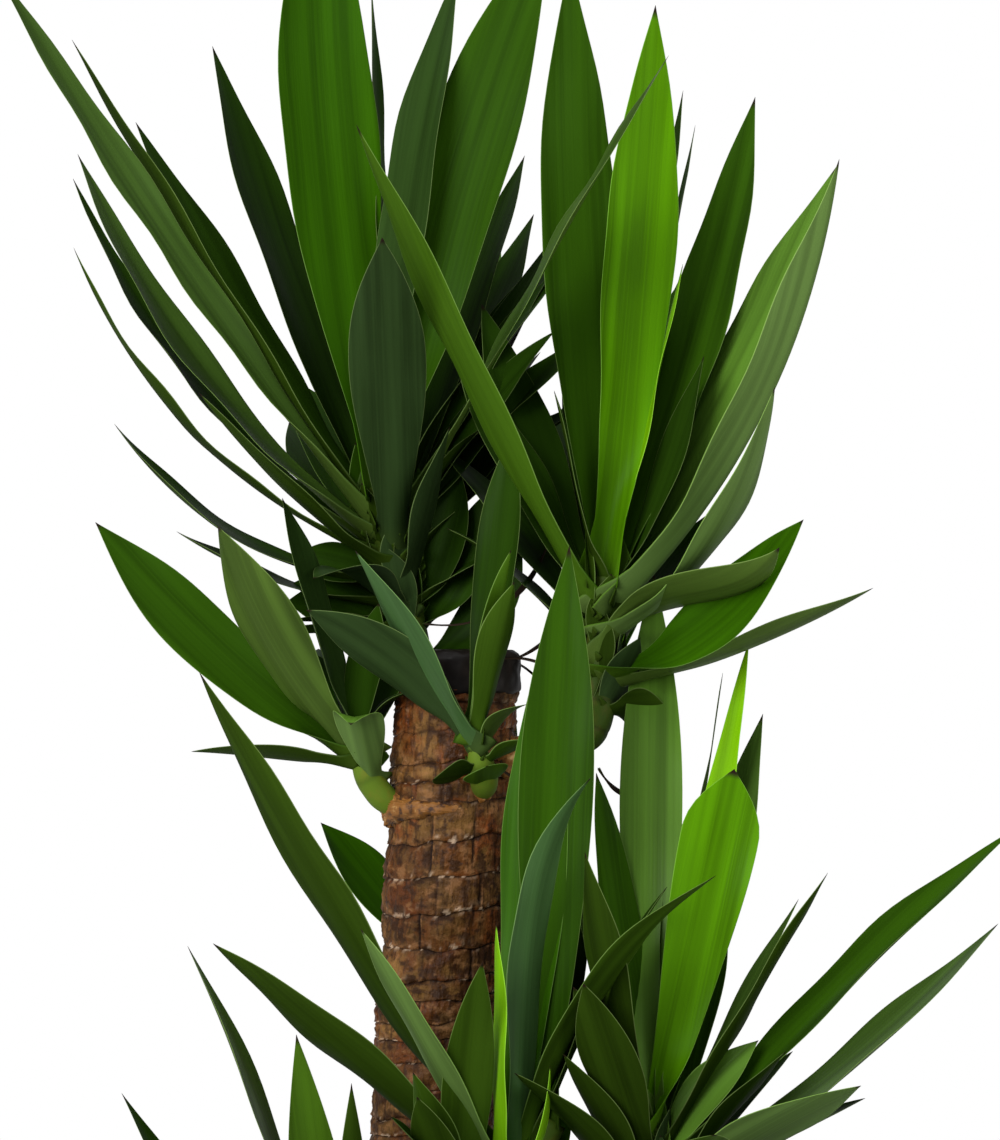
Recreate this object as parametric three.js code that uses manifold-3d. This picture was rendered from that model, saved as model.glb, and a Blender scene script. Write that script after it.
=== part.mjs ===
// Spineless yucca, an indoor plant of three sawn canes in a plain round pot.
// Millimetres, +Z up, origin under the middle of the pot. The front of the plant faces -Y.
import * as THREE from 'three';
import { mergeVertices } from 'three/addons/utils/BufferGeometryUtils.js';
import Module from 'manifold-3d';

const wasm = await Module();
wasm.setup();

// Clearance between pieces that touch
const GAP = 0.3;

// Pot and soil
const POT = {
  height: 245, foot: 100, mouth: 132, wall: 6, floor: 8, rim: 30, lip: 5, draft: 1, edge: 3, sides: 40,
};
const SOIL_TOP = 222;

// Canes: middle of the foot and of the cut end, radius at each, extra radius of the root flare, sideways bend
const CANES = {
  tall: { foot: [-46, 30, SOIL_TOP], top: [-9, 30, 1045], footRadius: 39, topRadius: 33, flare: 6, bend: -1 },
  middle: {
    foot: [47, -48, SOIL_TOP], top: [46, -58, 745], footRadius: 33, topRadius: 30, flare: 6, bend: -3,
  },
  low: { foot: [-48, -52, SOIL_TOP], top: [-24, -54, 575], footRadius: 30, topRadius: 28, flare: 5, bend: 2 },
};

// Height that the root flare fades over, and the rings of a cane, closer together low down
const FLARE_FADE = 40;
const CANE_SIDES = 18;
const CANE_RINGS = 9;
const RING_SPREAD = 1.5;

// The cut end of a cane is dipped in wax, which makes its top few millimetres a smooth dark cap
const SEAL = { height: 23, proud: 1, round: 5, shoulder: 1.5, hem: 2 };

// Outline of a leaf: its share of the full width at the root, and where along it is widest
const LEAF = {
  rootShare: 0.34, widestAt: 0.58, tipPower: 2.2, cup: 0.16, thick: 0.014, thinned: 0.6, turnedBy: 0.35,
};
const LEAF_STATIONS = [0, 0.16, 0.38, 0.6, 0.82];
const LEAF_SINK = 0.4;
const UPRIGHT_SPAN = 85;

// Stems of the heads: they keep their radius for most of their length and thin out at the top
const STEM = { sides: 8, steps: 6, topShare: 0.55, taperPower: 3 };

// Leaves that face the back or hang low follow a seeded rule. Each step along a row turns the lean by the
// golden ratio and changes the length and the roll by a fixed step.
const FILL = {
  leanStep: 0.618034, roll: 18, rollStep: 2.4,
  shortest: 0.9, longest: 1.1, longStart: 0.2, longStep: 0.37, bowFrom: 0.02, bowTo: 0.08,
};

// A fill leaf stays this far from canes and other heads, tested from a share of its length to its tip
const CLEAR = { apart: 5, from: 0.2, widthShare: 0.75, steps: 12 };

// Heads of leaves. The stem runs foot, knee, low, high; leaves grow between low and high, the upright
// ones highest. Each row of leaves gives, in degrees and millimetres:
// lean (right +), toward the front, length, width, bow (arched +, sagging -), roll (upper face to the
// front +) and, where it isn't 0, how far the root is moved up the stem.
// Each row of fill gives a count, then from-to pairs of lean, toward, length and width.
const HEADS = [
  {
    name: 'head_left', cane: 'tall', radius: 13,
    stem: [[-18, 48, 972], [-28, 74, 1000], [-38, 70, 1056], [-53, 58, 1136]],
    leaves: [
      [-34, 10, 380, 42, -2, -18], [-32, 4, 326, 40, -4, -12], [-31, -14, 288, 44, -6, 5],
      [-36, 22, 232, 38, -6, 0], [-38, -4, 282, 42, -22, 16], [-39, -10, 282, 36, -27, -8],
      [-46, 30, 164, 34, -6, 16], [-44.5, 0, 247, 38, -24, 14], [-59.5, 5, 178, 34, -15, 4],
      [-20.5, -25, 330, 50, -6, -22], [-6.5, -9, 380, 58, -10, 0], [-2, -20, 330, 34, -6, -75],
      [7.5, -12, 318, 40, 18, -15], [16, -10, 342, 50, 13, 23], [18, -30, 275, 42, 4, -25],
      [21, -38, 275, 40, 4, -20], [-1, 45, 240, 42, 8, 0], [29.5, 22, 328, 40, 4, 5],
      [33, -35, 178, 36, 4, -20], [40, -30, 136, 34, 4, 0], [-60, 50, 84, 40, 16, 0, -12],
      [-71, 8, 128, 32, -8, 6], [-92, 14, 82, 30, 0, 0], [14, 30, 120, 28, 4, 40, -40],
    ],
    fill: [[9, -16, 22, -34, -84, 300, 220, 48, 38], [5, -40, -33, -34, -72, 250, 200, 44, 38]],
  },
  {
    name: 'head_right', cane: 'tall', radius: 12,
    stem: [[12, 26, 984], [48, 18, 996], [66, 16, 1010], [72, 18, 1086]],
    leaves: [
      [-3, -9, 342, 40, -6, 0], [5, -8, 330, 40, 0, 12], [16.5, -15, 312, 44, -9, 0],
      [27, -8, 286, 46, -4, 12], [26.5, 10, 283, 46, -26, -4], [33, 25, 180, 40, -12, 0],
      [10, -22, 325, 40, 0, 0], [12.5, -28, 330, 30, 0, -40], [16, -35, 310, 42, 0, 0],
      [13, -10, 192, 26, 0, -30], [26, -25, 196, 40, 0, 0], [55, 20, 120, 40, 8, -20],
      [49, 25, 152, 50, -12, -22, -10], [69, 12, 158, 36, -6, -11], [80, 35, 48, 34, 0, -35],
      [-26, 18, 318, 38, 0, 4], [-13, 10, 120, 34, 0, 40],
    ],
    fill: [[10, -8, 30, -32, -84, 300, 220, 48, 38]],
  },
  {
    name: 'shoot_left', cane: 'tall', radius: 8,
    stem: [[-30, 24, 954], [-47, 18, 962], [-56, 16, 972], [-66, 12, 990]],
    leaves: [
      [-47, 0, 198, 46, -6, 42], [-31, 15, 158, 50, 0, 55], [-84, 10, 92, 30, 2, -15, 10],
      [-8, 40, 60, 40, 0, 0], [-16, -3, 148, 42, 0, 8], [38, 12, 54, 14, 14, 10],
    ],
    fill: [[3, -45, -20, -30, -60, 150, 110, 40, 34]],
  },
  {
    name: 'shoot_front', cane: 'tall', radius: 8,
    stem: [[2, 14, 966], [5, -2, 972], [4, -11, 980], [0, -18, 996]],
    leaves: [
      [-47, 16, 120, 40, 0, -30], [-30.5, 20, 138, 32, 0, 0], [10, 5, 108, 24, 0, 0],
      [12.5, 12, 94, 26, 0, 0], [-100, 30, 28, 28, 0, -30], [60, 30, 32, 20, 0, 0],
      [6.5, -10, 176, 28, 0, 0],
    ],
    fill: [],
  },
  {
    name: 'shoot_back', cane: 'tall', radius: 8,
    stem: [[-16, 46, 838], [-15, 66, 846], [-14, 72, 858], [-18, 78, 872]],
    leaves: [[-40, -8, 108, 38, 0, 30]],
    fill: [[6, -6, 25, -20, -75, 190, 120, 42, 34]],
  },
  {
    name: 'head_middle_left', cane: 'middle', radius: 12,
    stem: [[38, -64, 664], [8, -76, 684], [-8, -78, 712], [42, -70, 796]],
    leaves: [
      [1.8, -3, 310, 38, 0, 20], [3.4, -6, 297, 36, 0, 0, -30], [9, 15, 217, 26, 20, 0, -30],
      [-3, 15, 150, 24, 0, 46, -42], [4.6, 22, 186, 34, 0, 0, -72], [-31.6, 10, 318, 44, 0, -12],
      [-29, 25, 179, 34, 0, 0], [-49.2, 12, 206, 42, 0, -18, 16], [-41, 35, 97, 30, 0, 30],
      [13, 20, 62, 22, 0, 50, -30], [32, 20, 208, 34, 22, 0],
    ],
    fill: [[5, -80, -135, 10, 70, 250, 200, 46, 38], [5, -60, 100, 70, 88, 230, 190, 46, 38]],
  },
  {
    name: 'head_middle_right', cane: 'middle', radius: 12,
    stem: [[62, -61, 674], [84, -65, 694], [92, -66, 730], [94, -64, 792]],
    leaves: [
      [1, -20, 282, 36, 0, 0], [13, -8, 206, 50, 0, 32], [11.3, -6, 278, 30, 0, -25],
      [15, -14, 246, 34, 0, -10], [9.5, -25, 290, 24, 0, -70], [-8, -8, 200, 30, 0, 0],
      [-18, 30, 130, 34, 0, 0], [30, 5, 180, 32, 0, -14], [28, -10, 160, 34, 0, -8],
      [45, 0, 272, 42, 5, 20], [51.5, 8, 230, 42, -6, -22], [46, -20, 112, 34, 0, 0],
      [55.5, 30, 144, 44, 6, -10], [-24, -15, 120, 36, 0, 0],
    ],
    fill: [[7, -2, 5, -32, -84, 290, 220, 46, 38], [6, 82, 128, -65, 55, 250, 200, 46, 38],
      [3, -40, 60, 66, 86, 230, 190, 46, 38]],
  },
  {
    name: 'head_low', cane: 'low', radius: 12,
    stem: [[-32, -54, 524], [-54, -54, 536], [-64, -54, 552], [-64, -54, 608]],
    leaves: [
      [-16.5, 4, 306, 40, 12, 20], [-28.5, 0, 250, 36, 8, 20], [-7, 6, 244, 30, 0, -40],
      [0, 15, 240, 18, 0, 0],
    ],
    fill: [[10, -80, 80, -25, -84, 240, 200, 46, 36], [10, -85, 70, 22, 84, 240, 200, 46, 36],
      [6, -70, -130, -25, 30, 240, 200, 46, 36]],
  },
];

const COLOURS = {
  pot: new THREE.MeshStandardMaterial({ color: 0x9a5a3c, roughness: 0.85, metalness: 0 }),
  soil: new THREE.MeshStandardMaterial({ color: 0x2c2018, roughness: 1, metalness: 0 }),
  bark: new THREE.MeshStandardMaterial({ color: 0x5c3d22, roughness: 0.9, metalness: 0 }),
  seal: new THREE.MeshStandardMaterial({ color: 0x2a2427, roughness: 0.6, metalness: 0 }),
  leaf: new THREE.MeshStandardMaterial({ color: 0x2f5a1c, roughness: 0.4, metalness: 0 }),
};

const EAST = new THREE.Vector3(1, 0, 0);
const NORTH = new THREE.Vector3(0, 1, 0);
const UP = new THREE.Vector3(0, 0, 1);
const vector = (xyz) => new THREE.Vector3(...xyz);
const radians = THREE.MathUtils.degToRad;
const mix = THREE.MathUtils.lerp;
const smooth = (u) => THREE.MathUtils.smoothstep(u, 0, 1);

// Closed surface through rings of points, with a flat or pointed far end
function loft(rings, tip) {
  const sides = rings[0].length;
  const points = rings.flat();
  const faces = [];
  for (let ring = 0; ring < rings.length - 1; ring += 1) {
    for (let side = 0; side < sides; side += 1) {
      const a = ring * sides + side;
      const b = ring * sides + ((side + 1) % sides);
      faces.push(a, b, b + sides, a, b + sides, a + sides);
    }
  }
  const last = (rings.length - 1) * sides;
  for (let side = 1; side < sides - 1; side += 1) {
    faces.push(0, side + 1, side);
    if (!tip) faces.push(last, last + side, last + side + 1);
  }
  if (tip) {
    for (let side = 0; side < sides; side += 1) {
      faces.push(last + side, last + ((side + 1) % sides), points.length);
    }
    points.push(tip);
  }
  const geometry = new THREE.BufferGeometry().setFromPoints(points);
  geometry.setIndex(faces);
  return geometry;
}

// Circle of points round a centre, in the plane of two unit vectors
function circle(centre, radius, sides, across = EAST, along = NORTH) {
  return Array.from({ length: sides }, (_, side) => {
    const angle = (side / sides) * Math.PI * 2;
    return centre.clone()
      .addScaledVector(across, radius * Math.cos(angle))
      .addScaledVector(along, radius * Math.sin(angle));
  });
}

function toSolid(geometry) {
  const bare = geometry.clone();
  bare.deleteAttribute('normal');
  bare.deleteAttribute('uv');
  const merged = mergeVertices(bare, 1e-5);
  return new wasm.Manifold(new wasm.Mesh({
    numProp: 3,
    vertProperties: new Float32Array(merged.attributes.position.array),
    triVerts: new Uint32Array(merged.index.array),
  }));
}

function toGeometry(solid) {
  const mesh = solid.getMesh();
  const geometry = new THREE.BufferGeometry();
  geometry.setAttribute('position', new THREE.BufferAttribute(mesh.vertProperties, 3));
  geometry.setIndex(new THREE.BufferAttribute(mesh.triVerts, 1));
  geometry.computeVertexNormals();
  return geometry;
}

// The one body that counts: scraps are dropped and sealed hollows filled
function largestBody(solid) {
  return solid.decompose().reduce((best, body) => (body.volume() > best.volume() ? body : best));
}

// Radius of the pot's outer wall below its rim
function potRadius(z) {
  return mix(POT.foot, POT.mouth - POT.lip, z / (POT.height - POT.rim));
}

// Radius of the pot's inner wall, which runs straight from the floor to the mouth
function potInside(z) {
  const share = (z - POT.floor) / (POT.height - POT.edge - POT.floor);
  return mix(potRadius(POT.floor), POT.mouth - POT.lip, share) - POT.wall;
}

// Pot: an open cone with a flat underside, a thick floor and a plain rim band
function potGeometry() {
  const rimFoot = POT.height - POT.rim;
  const edgeFoot = POT.height - POT.edge;
  return turned([
    [0, 0], [POT.foot, 0], [potRadius(rimFoot), rimFoot], [POT.mouth - POT.draft, rimFoot + POT.lip],
    [POT.mouth, edgeFoot], [POT.mouth - POT.edge, POT.height], [potInside(edgeFoot) + POT.edge, POT.height],
    [potInside(edgeFoot), edgeFoot], [potInside(POT.floor), POT.floor], [0, POT.floor],
  ]);
}

// Soil fills the pot to the foot of the canes
function soilGeometry() {
  const floor = POT.floor + GAP;
  const wallAt = (z) => potInside(z) - 2 * GAP;
  return turned([[0, floor], [wallAt(floor), floor], [wallAt(SOIL_TOP), SOIL_TOP], [0, SOIL_TOP]]);
}

// A lathe turns about Y, so the result is stood up on +Z
function turned(outline) {
  const profile = outline.map(([radius, height]) => new THREE.Vector2(radius, height));
  return new THREE.LatheGeometry(profile, POT.sides).rotateX(Math.PI / 2);
}

// Middle of a cane at a share of its height, and its radius there
function caneMiddle(cane, share) {
  const middle = vector(cane.foot).lerp(vector(cane.top), share);
  middle.x += cane.bend * Math.sin(Math.PI * share);
  return middle;
}

function caneRadius(cane, share) {
  const rise = share * (cane.top[2] - cane.foot[2]);
  return mix(cane.footRadius, cane.topRadius, share) + cane.flare * Math.exp(-rise / FLARE_FADE);
}

// A cane from the soil to the foot of its wax seal, its rings closer together in the flare
function caneGeometry(cane, grown = 0) {
  const tall = cane.top[2] - cane.foot[2];
  const ends = grown ? [-GAP / tall, 1 + GAP / tall] : [GAP / tall, 1 - (SEAL.height + GAP) / tall];
  const rings = [];
  for (let ring = 0; ring <= CANE_RINGS; ring += 1) {
    const share = mix(ends[0], ends[1], (ring / CANE_RINGS) ** RING_SPREAD);
    rings.push(circle(caneMiddle(cane, share), caneRadius(cane, share) + grown, CANE_SIDES));
  }
  return loft(rings);
}

// The wax seal: a short drum on the cane's cut end, with a thin hem below and a rounded top edge
function sealGeometry(cane) {
  const radius = cane.topRadius + SEAL.proud;
  const profile = [
    [radius - SEAL.proud, -SEAL.height], [radius, SEAL.hem - SEAL.height], [radius, -SEAL.round],
    [radius - SEAL.shoulder, -SEAL.shoulder], [radius - SEAL.round, 0],
  ];
  return loft(profile.map(([reach, drop]) => (
    circle(vector(cane.top).addScaledVector(UP, drop), reach, CANE_SIDES))));
}

// Stem of a head: a round tapered shoot along its curve
function stemGeometry(head) {
  const curve = new THREE.CatmullRomCurve3(head.stem.map(vector));
  const rings = [];
  for (let step = 0; step <= STEM.steps; step += 1) {
    const share = step / STEM.steps;
    const along = curve.getTangent(share);
    const across = NORTH.clone().cross(along).normalize();
    const other = along.clone().cross(across);
    const radius = head.radius * mix(1, STEM.topShare, share ** STEM.taperPower);
    rings.push(circle(curve.getPoint(share), radius, STEM.sides, across, other));
  }
  return loft(rings);
}

// A leaf as its direction, sizes and turn; rolled leaves turn by the side they lean to
function frontLeaf(row) {
  const [lean, toward, long, wide, bow, roll, rise = 0] = row;
  const level = Math.cos(radians(toward));
  const aim = new THREE.Vector3(
    Math.sin(radians(lean)) * level, -Math.sin(radians(toward)), Math.cos(radians(lean)) * level);
  return { aim, long, wide, bow, turn: radians(roll) * (lean >= 0 ? 1 : -1), rise };
}

// The leaf of a fill row by its place in the row: its lean is dealt out by the golden ratio
function fillLeaf(row, index) {
  const [count, leanFrom, leanTo, towardFrom, towardTo, longFrom, longTo, wideFrom, wideTo] = row;
  const share = (index + 0.5) / count;
  const lean = mix(leanFrom, leanTo, ((index + 1) * FILL.leanStep) % 1);
  const grown = mix(FILL.shortest, FILL.longest, (index * FILL.longStep + FILL.longStart) % 1);
  const long = mix(longFrom, longTo, share) * grown;
  const bow = long * mix(FILL.bowFrom, FILL.bowTo, share);
  const roll = FILL.roll * Math.sin(index * FILL.rollStep);
  return frontLeaf([lean, mix(towardFrom, towardTo, share), long, mix(wideFrom, wideTo, share), bow, roll]);
}

// Where a leaf leaves its stem: upright leaves at the top, spreading ones lower
function leafRoot(head, leaf) {
  const low = vector(head.stem[2]);
  const high = vector(head.stem[3]);
  const polar = THREE.MathUtils.radToDeg(Math.acos(leaf.aim.z));
  const share = THREE.MathUtils.clamp(1 - polar / UPRIGHT_SPAN, 0, 1);
  const climb = high.clone().sub(low).normalize().multiplyScalar(leaf.rise);
  const outward = new THREE.Vector3(leaf.aim.x, leaf.aim.y, 0).multiplyScalar(head.radius * LEAF_SINK);
  return low.lerp(high, share).add(climb).add(outward);
}

function leafHalfWidth(leaf, share) {
  if (share < LEAF.widestAt) {
    return 0.5 * leaf.wide * mix(LEAF.rootShare, 1, smooth(share / LEAF.widestAt));
  }
  return 0.5 * leaf.wide * (1 - ((share - LEAF.widestAt) / (1 - LEAF.widestAt)) ** LEAF.tipPower);
}

// Rib point of a leaf with its side and face directions
function leafFrame(head, leaf, share) {
  const level = new THREE.Vector3(leaf.aim.x, leaf.aim.y, 0).normalize();
  const polar = Math.acos(leaf.aim.z);
  const inward = UP.clone().multiplyScalar(Math.sin(polar)).addScaledVector(level, -Math.cos(polar));
  const rib = leafRoot(head, leaf)
    .addScaledVector(leaf.aim, leaf.long * share)
    .addScaledVector(inward, 4 * leaf.bow * share * (1 - share));
  const flat = UP.clone().cross(leaf.aim).normalize();
  const turn = leaf.turn * smooth(share / LEAF.turnedBy);
  const side = flat.clone().multiplyScalar(Math.cos(turn))
    .addScaledVector(leaf.aim.clone().cross(flat), Math.sin(turn));
  return { rib, side, face: leaf.aim.clone().cross(side) };
}

// A leaf as a closed blade: two edges that stand up from a thicker rib, and a needle tip
function leafGeometry(head, leaf) {
  const rings = LEAF_STATIONS.map((share) => {
    const { rib, side, face } = leafFrame(head, leaf, share);
    const half = leafHalfWidth(leaf, share);
    const thick = leaf.long * LEAF.thick * mix(1, LEAF.thinned, share);
    const edge = (sign) => rib.clone()
      .addScaledVector(side, sign * half)
      .addScaledVector(face, LEAF.cup * half);
    return [edge(-1), rib.clone().addScaledVector(face, -thick / 2), edge(1),
      rib.clone().addScaledVector(face, thick / 2)];
  });
  return loft(rings, leafFrame(head, leaf, 1).rib);
}

// Rib points with the room that the blade takes round each
function leafRoom(head, leaf) {
  return Array.from({ length: CLEAR.steps + 1 }, (_, step) => {
    const share = mix(CLEAR.from, 1, step / CLEAR.steps);
    return { middle: leafFrame(head, leaf, share).rib, reach: leafHalfWidth(leaf, share) * CLEAR.widthShare };
  });
}

function touchesCane(room) {
  return Object.values(CANES).some((cane) => room.some(({ middle, reach }) => {
    if (middle.z > cane.top[2] + reach + CLEAR.apart) return false;
    const share = THREE.MathUtils.clamp((middle.z - cane.foot[2]) / (cane.top[2] - cane.foot[2]), 0, 1);
    const axis = caneMiddle(cane, share);
    const apart = Math.hypot(middle.x - axis.x, middle.y - axis.y);
    return apart < caneRadius(cane, share) + reach + CLEAR.apart;
  }));
}

function touchesLeaf(room, others) {
  return others.some((other) => room.some((here) => other.some((there) => (
    here.middle.distanceTo(there.middle) < here.reach + there.reach + CLEAR.apart))));
}

// All leaves of all heads: the rows first, then each fill leaf that has room
function growLeaves() {
  const grown = HEADS.map((head) => head.leaves.map(frontLeaf));
  const rooms = HEADS.map((head, place) => grown[place].map((leaf) => leafRoom(head, leaf)));
  HEADS.forEach((head, place) => head.fill.forEach((row) => {
    for (let index = 0; index < row[0]; index += 1) {
      const leaf = fillLeaf(row, index);
      const room = leafRoom(head, leaf);
      const others = rooms.filter((_, other) => other !== place).flat();
      if (!touchesCane(room) && !touchesLeaf(room, others)) {
        grown[place].push(leaf);
        rooms[place].push(room);
      }
    }
  }));
  return grown;
}

// A head: stem and leaves fused to one body, cut clear of the cane that carries it
function headGeometry(head, leaves) {
  let body = toSolid(stemGeometry(head));
  leaves.forEach((leaf) => {
    body = body.add(toSolid(leafGeometry(head, leaf)));
  });
  return toGeometry(largestBody(body.subtract(toSolid(caneGeometry(CANES[head.cane], GAP)))));
}

const yucca = new THREE.Group();
function addPart(name, geometry, material) {
  const mesh = new THREE.Mesh(geometry, material);
  mesh.name = name;
  yucca.add(mesh);
}

addPart('pot', potGeometry(), COLOURS.pot);
addPart('soil', soilGeometry(), COLOURS.soil);
Object.entries(CANES).forEach(([name, cane]) => {
  addPart(`cane_${name}`, caneGeometry(cane), COLOURS.bark);
  addPart(`seal_${name}`, sealGeometry(cane), COLOURS.seal);
});
const leaves = growLeaves();
HEADS.forEach((head, place) => addPart(head.name, headGeometry(head, leaves[place]), COLOURS.leaf));

export default yucca;
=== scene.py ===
"""Looks of a spineless yucca: three sawn canes with heads of sword leaves in a plain clay pot.

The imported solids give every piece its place. The scene is in metres, +Z up, and the front of the plant
faces -Y. Sizes in the rows of leaves, canes and stems are millimetres and degrees, as on the solids.
"""

from __future__ import annotations

import logging
import math
from collections.abc import Callable, Iterator
from contextlib import contextmanager
from dataclasses import dataclass, field, replace
from enum import Enum

import bpy
import numpy as np
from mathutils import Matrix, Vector

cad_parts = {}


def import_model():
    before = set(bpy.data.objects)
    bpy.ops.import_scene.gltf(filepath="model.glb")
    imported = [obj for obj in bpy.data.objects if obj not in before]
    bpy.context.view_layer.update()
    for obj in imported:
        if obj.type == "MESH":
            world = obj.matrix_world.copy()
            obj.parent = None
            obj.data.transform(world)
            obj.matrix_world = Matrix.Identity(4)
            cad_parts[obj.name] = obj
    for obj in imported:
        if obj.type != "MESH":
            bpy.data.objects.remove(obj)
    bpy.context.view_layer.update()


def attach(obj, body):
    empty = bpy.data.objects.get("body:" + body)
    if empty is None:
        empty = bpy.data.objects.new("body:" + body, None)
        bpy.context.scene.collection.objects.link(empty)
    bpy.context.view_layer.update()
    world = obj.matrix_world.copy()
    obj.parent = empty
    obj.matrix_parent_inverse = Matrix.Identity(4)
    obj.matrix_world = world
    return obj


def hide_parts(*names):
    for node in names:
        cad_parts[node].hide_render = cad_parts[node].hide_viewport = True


LOG = logging.getLogger("yucca")
MM = 0.001
BODY = "root"

Array = np.ndarray
Colour = tuple[float, float, float]
Point = tuple[float, float, float]
Place = Callable[[Array, Array], Array]

EAST = np.array((1.0, 0.0, 0.0))
NORTH = np.array((0.0, 1.0, 0.0))
UP = np.array((0.0, 0.0, 1.0))

# Turn from one leaf to the next round a stem, in radians
LEAF_TURN = 2.4

# A stem thinner than this is a young shoot, in millimetres
YOUNG_RADIUS = 10


def mix(start: Array | float, end: Array | float, share: Array | float) -> Array | float:
    """Value at a share of the way from start to end."""
    return start + (end - start) * share


def smooth(share: Array | float) -> Array | float:
    """Share eased in and out between 0 and 1."""
    held = np.clip(share, 0.0, 1.0)
    return held * held * (3.0 - 2.0 * held)


def hump(distance: Array, width: float) -> Array:
    """Bell of height 1 at distance 0."""
    return np.exp(-((distance / width) ** 2))


def unit(vectors: Array) -> Array:
    """Vectors scaled to length 1."""
    return vectors / np.linalg.norm(vectors, axis=-1, keepdims=True)


def waves(rng: np.random.Generator, angle: Array, lowest: int, highest: int) -> Array:
    """Seeded wobble round a ring, within about -1 to 1, that closes on itself.

    Args:
        rng: Source of the phases.
        angle: Angles round the ring, in radians.
        lowest: Fewest waves round the ring.
        highest: Most waves round the ring.

    Returns:
        The wobble at each angle.
    """
    total = np.zeros_like(angle)
    for count in range(lowest, highest + 1):
        total += np.sin(count * angle + rng.uniform(0, 2 * math.pi)) * rng.uniform(0.5, 1.0)
    return total / math.sqrt(highest - lowest + 1)


def grain(rng: np.random.Generator, points: Array, length: float, count: int = 18) -> Array:
    """Seeded lumps in space, within about -1 to 1, as a sum of plane waves.

    Args:
        rng: Source of the directions and phases.
        points: Points to read, in metres.
        length: Mean distance between lumps, in metres.
        count: Number of plane waves.

    Returns:
        The height of the lumps at each point.
    """
    total = np.zeros(len(points))
    for _ in range(count):
        way = unit(rng.normal(size=3)) * 2 * math.pi / (length * rng.uniform(0.6, 1.6))
        total += np.sin(points @ way + rng.uniform(0, 2 * math.pi))
    return total / math.sqrt(count)


def select_only(piece: bpy.types.Object) -> None:
    """Select one object and make it active."""
    bpy.ops.object.select_all(action="DESELECT")
    piece.select_set(True)
    bpy.context.view_layer.objects.active = piece


@contextmanager
def editing(piece: bpy.types.Object) -> Iterator[None]:
    """Hold a piece in edit mode with all of it selected."""
    select_only(piece)
    bpy.ops.object.mode_set(mode="EDIT")
    bpy.ops.mesh.select_all(action="SELECT")
    yield
    bpy.ops.object.mode_set(mode="OBJECT")


def points_of(mesh: bpy.types.Mesh) -> Array:
    """Points of a mesh as rows of x, y, z."""
    flat = np.empty(len(mesh.vertices) * 3, np.float32)
    mesh.vertices.foreach_get("co", flat)
    return flat.reshape(-1, 3).astype(float)


def move_points(mesh: bpy.types.Mesh, points: Array) -> None:
    """Put the points of a mesh in new places."""
    mesh.vertices.foreach_set("co", points.astype(np.float32).ravel())
    mesh.update()


def write_values(mesh: bpy.types.Mesh, name: str, values: Array) -> None:
    """Keep one number for each point of a mesh, for its material to read."""
    made = mesh.attributes.new(name, "FLOAT", "POINT")
    made.data.foreach_set("value", values.astype(np.float32))


def new_primitive(name: str, adder: Callable[..., set[str]], **sizes: object) -> bpy.types.Object:
    """Add a primitive by its operator, with nothing else selected, and name it.

    Args:
        name: Name of the piece.
        adder: Operator that adds the primitive.
        **sizes: Sizes and place for the operator.

    Returns:
        The new object.
    """
    bpy.ops.object.select_all(action="DESELECT")
    adder(**sizes)
    piece = bpy.context.active_object
    piece.name = name
    piece.data.name = name
    return piece


def settle_place(piece: bpy.types.Object) -> None:
    """Put the place of an object into its mesh, so that the object sits at the origin."""
    select_only(piece)
    bpy.ops.object.transform_apply(location=True, rotation=True, scale=True)


def wrapped_grid(
    name: str, around: int, along: int, place: Place, values: dict[str, Array] | None = None
) -> bpy.types.Object:
    """Add a grid and wrap it round to a closed tube or turned shape.

    Args:
        name: Name of the piece.
        around: Faces round the tube.
        along: Faces along the tube.
        place: Gives the points for turns round and shares along, both from 0 to 1.
        values: Filled by place with one array for each named value of the points.

    Returns:
        The piece, with its seam merged and its ends filled.
    """
    piece = new_primitive(
        name, bpy.ops.mesh.primitive_grid_add, x_subdivisions=around, y_subdivisions=along, size=2.0
    )
    flat = points_of(piece.data)
    move_points(piece.data, place((flat[:, 0] + 1) / 2, (flat[:, 1] + 1) / 2))
    for key, numbers in (values or {}).items():
        write_values(piece.data, key, numbers)
    with editing(piece):
        bpy.ops.mesh.remove_doubles(threshold=1e-6)
        bpy.ops.mesh.fill_holes(sides=0)
        bpy.ops.mesh.normals_make_consistent(inside=False)
    bpy.ops.object.shade_smooth()
    return piece


def joined_mesh(name: str, points: Array, faces: Array, slots: Array) -> bpy.types.Object:
    """Make one smooth mesh from arrays of points and four-cornered or three-cornered faces.

    Args:
        name: Name of the piece.
        points: Points of all its parts.
        faces: Corner numbers, one row for each face.
        slots: Material slot of each face.

    Returns:
        The new object, linked to the scene.
    """
    mesh = bpy.data.meshes.new(name)
    mesh.vertices.add(len(points))
    mesh.vertices.foreach_set("co", points.astype(np.float32).ravel())
    mesh.loops.add(faces.size)
    mesh.loops.foreach_set("vertex_index", faces.astype(np.int32).ravel())
    mesh.polygons.add(len(faces))
    mesh.polygons.foreach_set("loop_start", np.arange(0, faces.size, faces.shape[1], dtype=np.int32))
    mesh.polygons.foreach_set("material_index", slots.astype(np.int32))
    mesh.polygons.foreach_set("use_smooth", np.ones(len(faces), bool))
    mesh.update(calc_edges=True)
    piece = bpy.data.objects.new(name, mesh)
    bpy.context.scene.collection.objects.link(piece)
    return piece


def hand_over(piece: bpy.types.Object, slot: str, *nodes: str) -> bpy.types.Object:
    """Ride a finished piece on the plant, hide the solids it stands for and log them.

    Args:
        piece: The finished piece.
        slot: Material slot of the piece's finish; not used.
        *nodes: Solids that the piece replaces.

    Returns:
        The same piece.
    """
    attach(piece, BODY)
    if nodes:
        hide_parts(*nodes)
    LOG.info("%s: %d faces, stands for %s", piece.name, len(piece.data.polygons), list(nodes))
    return piece


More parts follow.
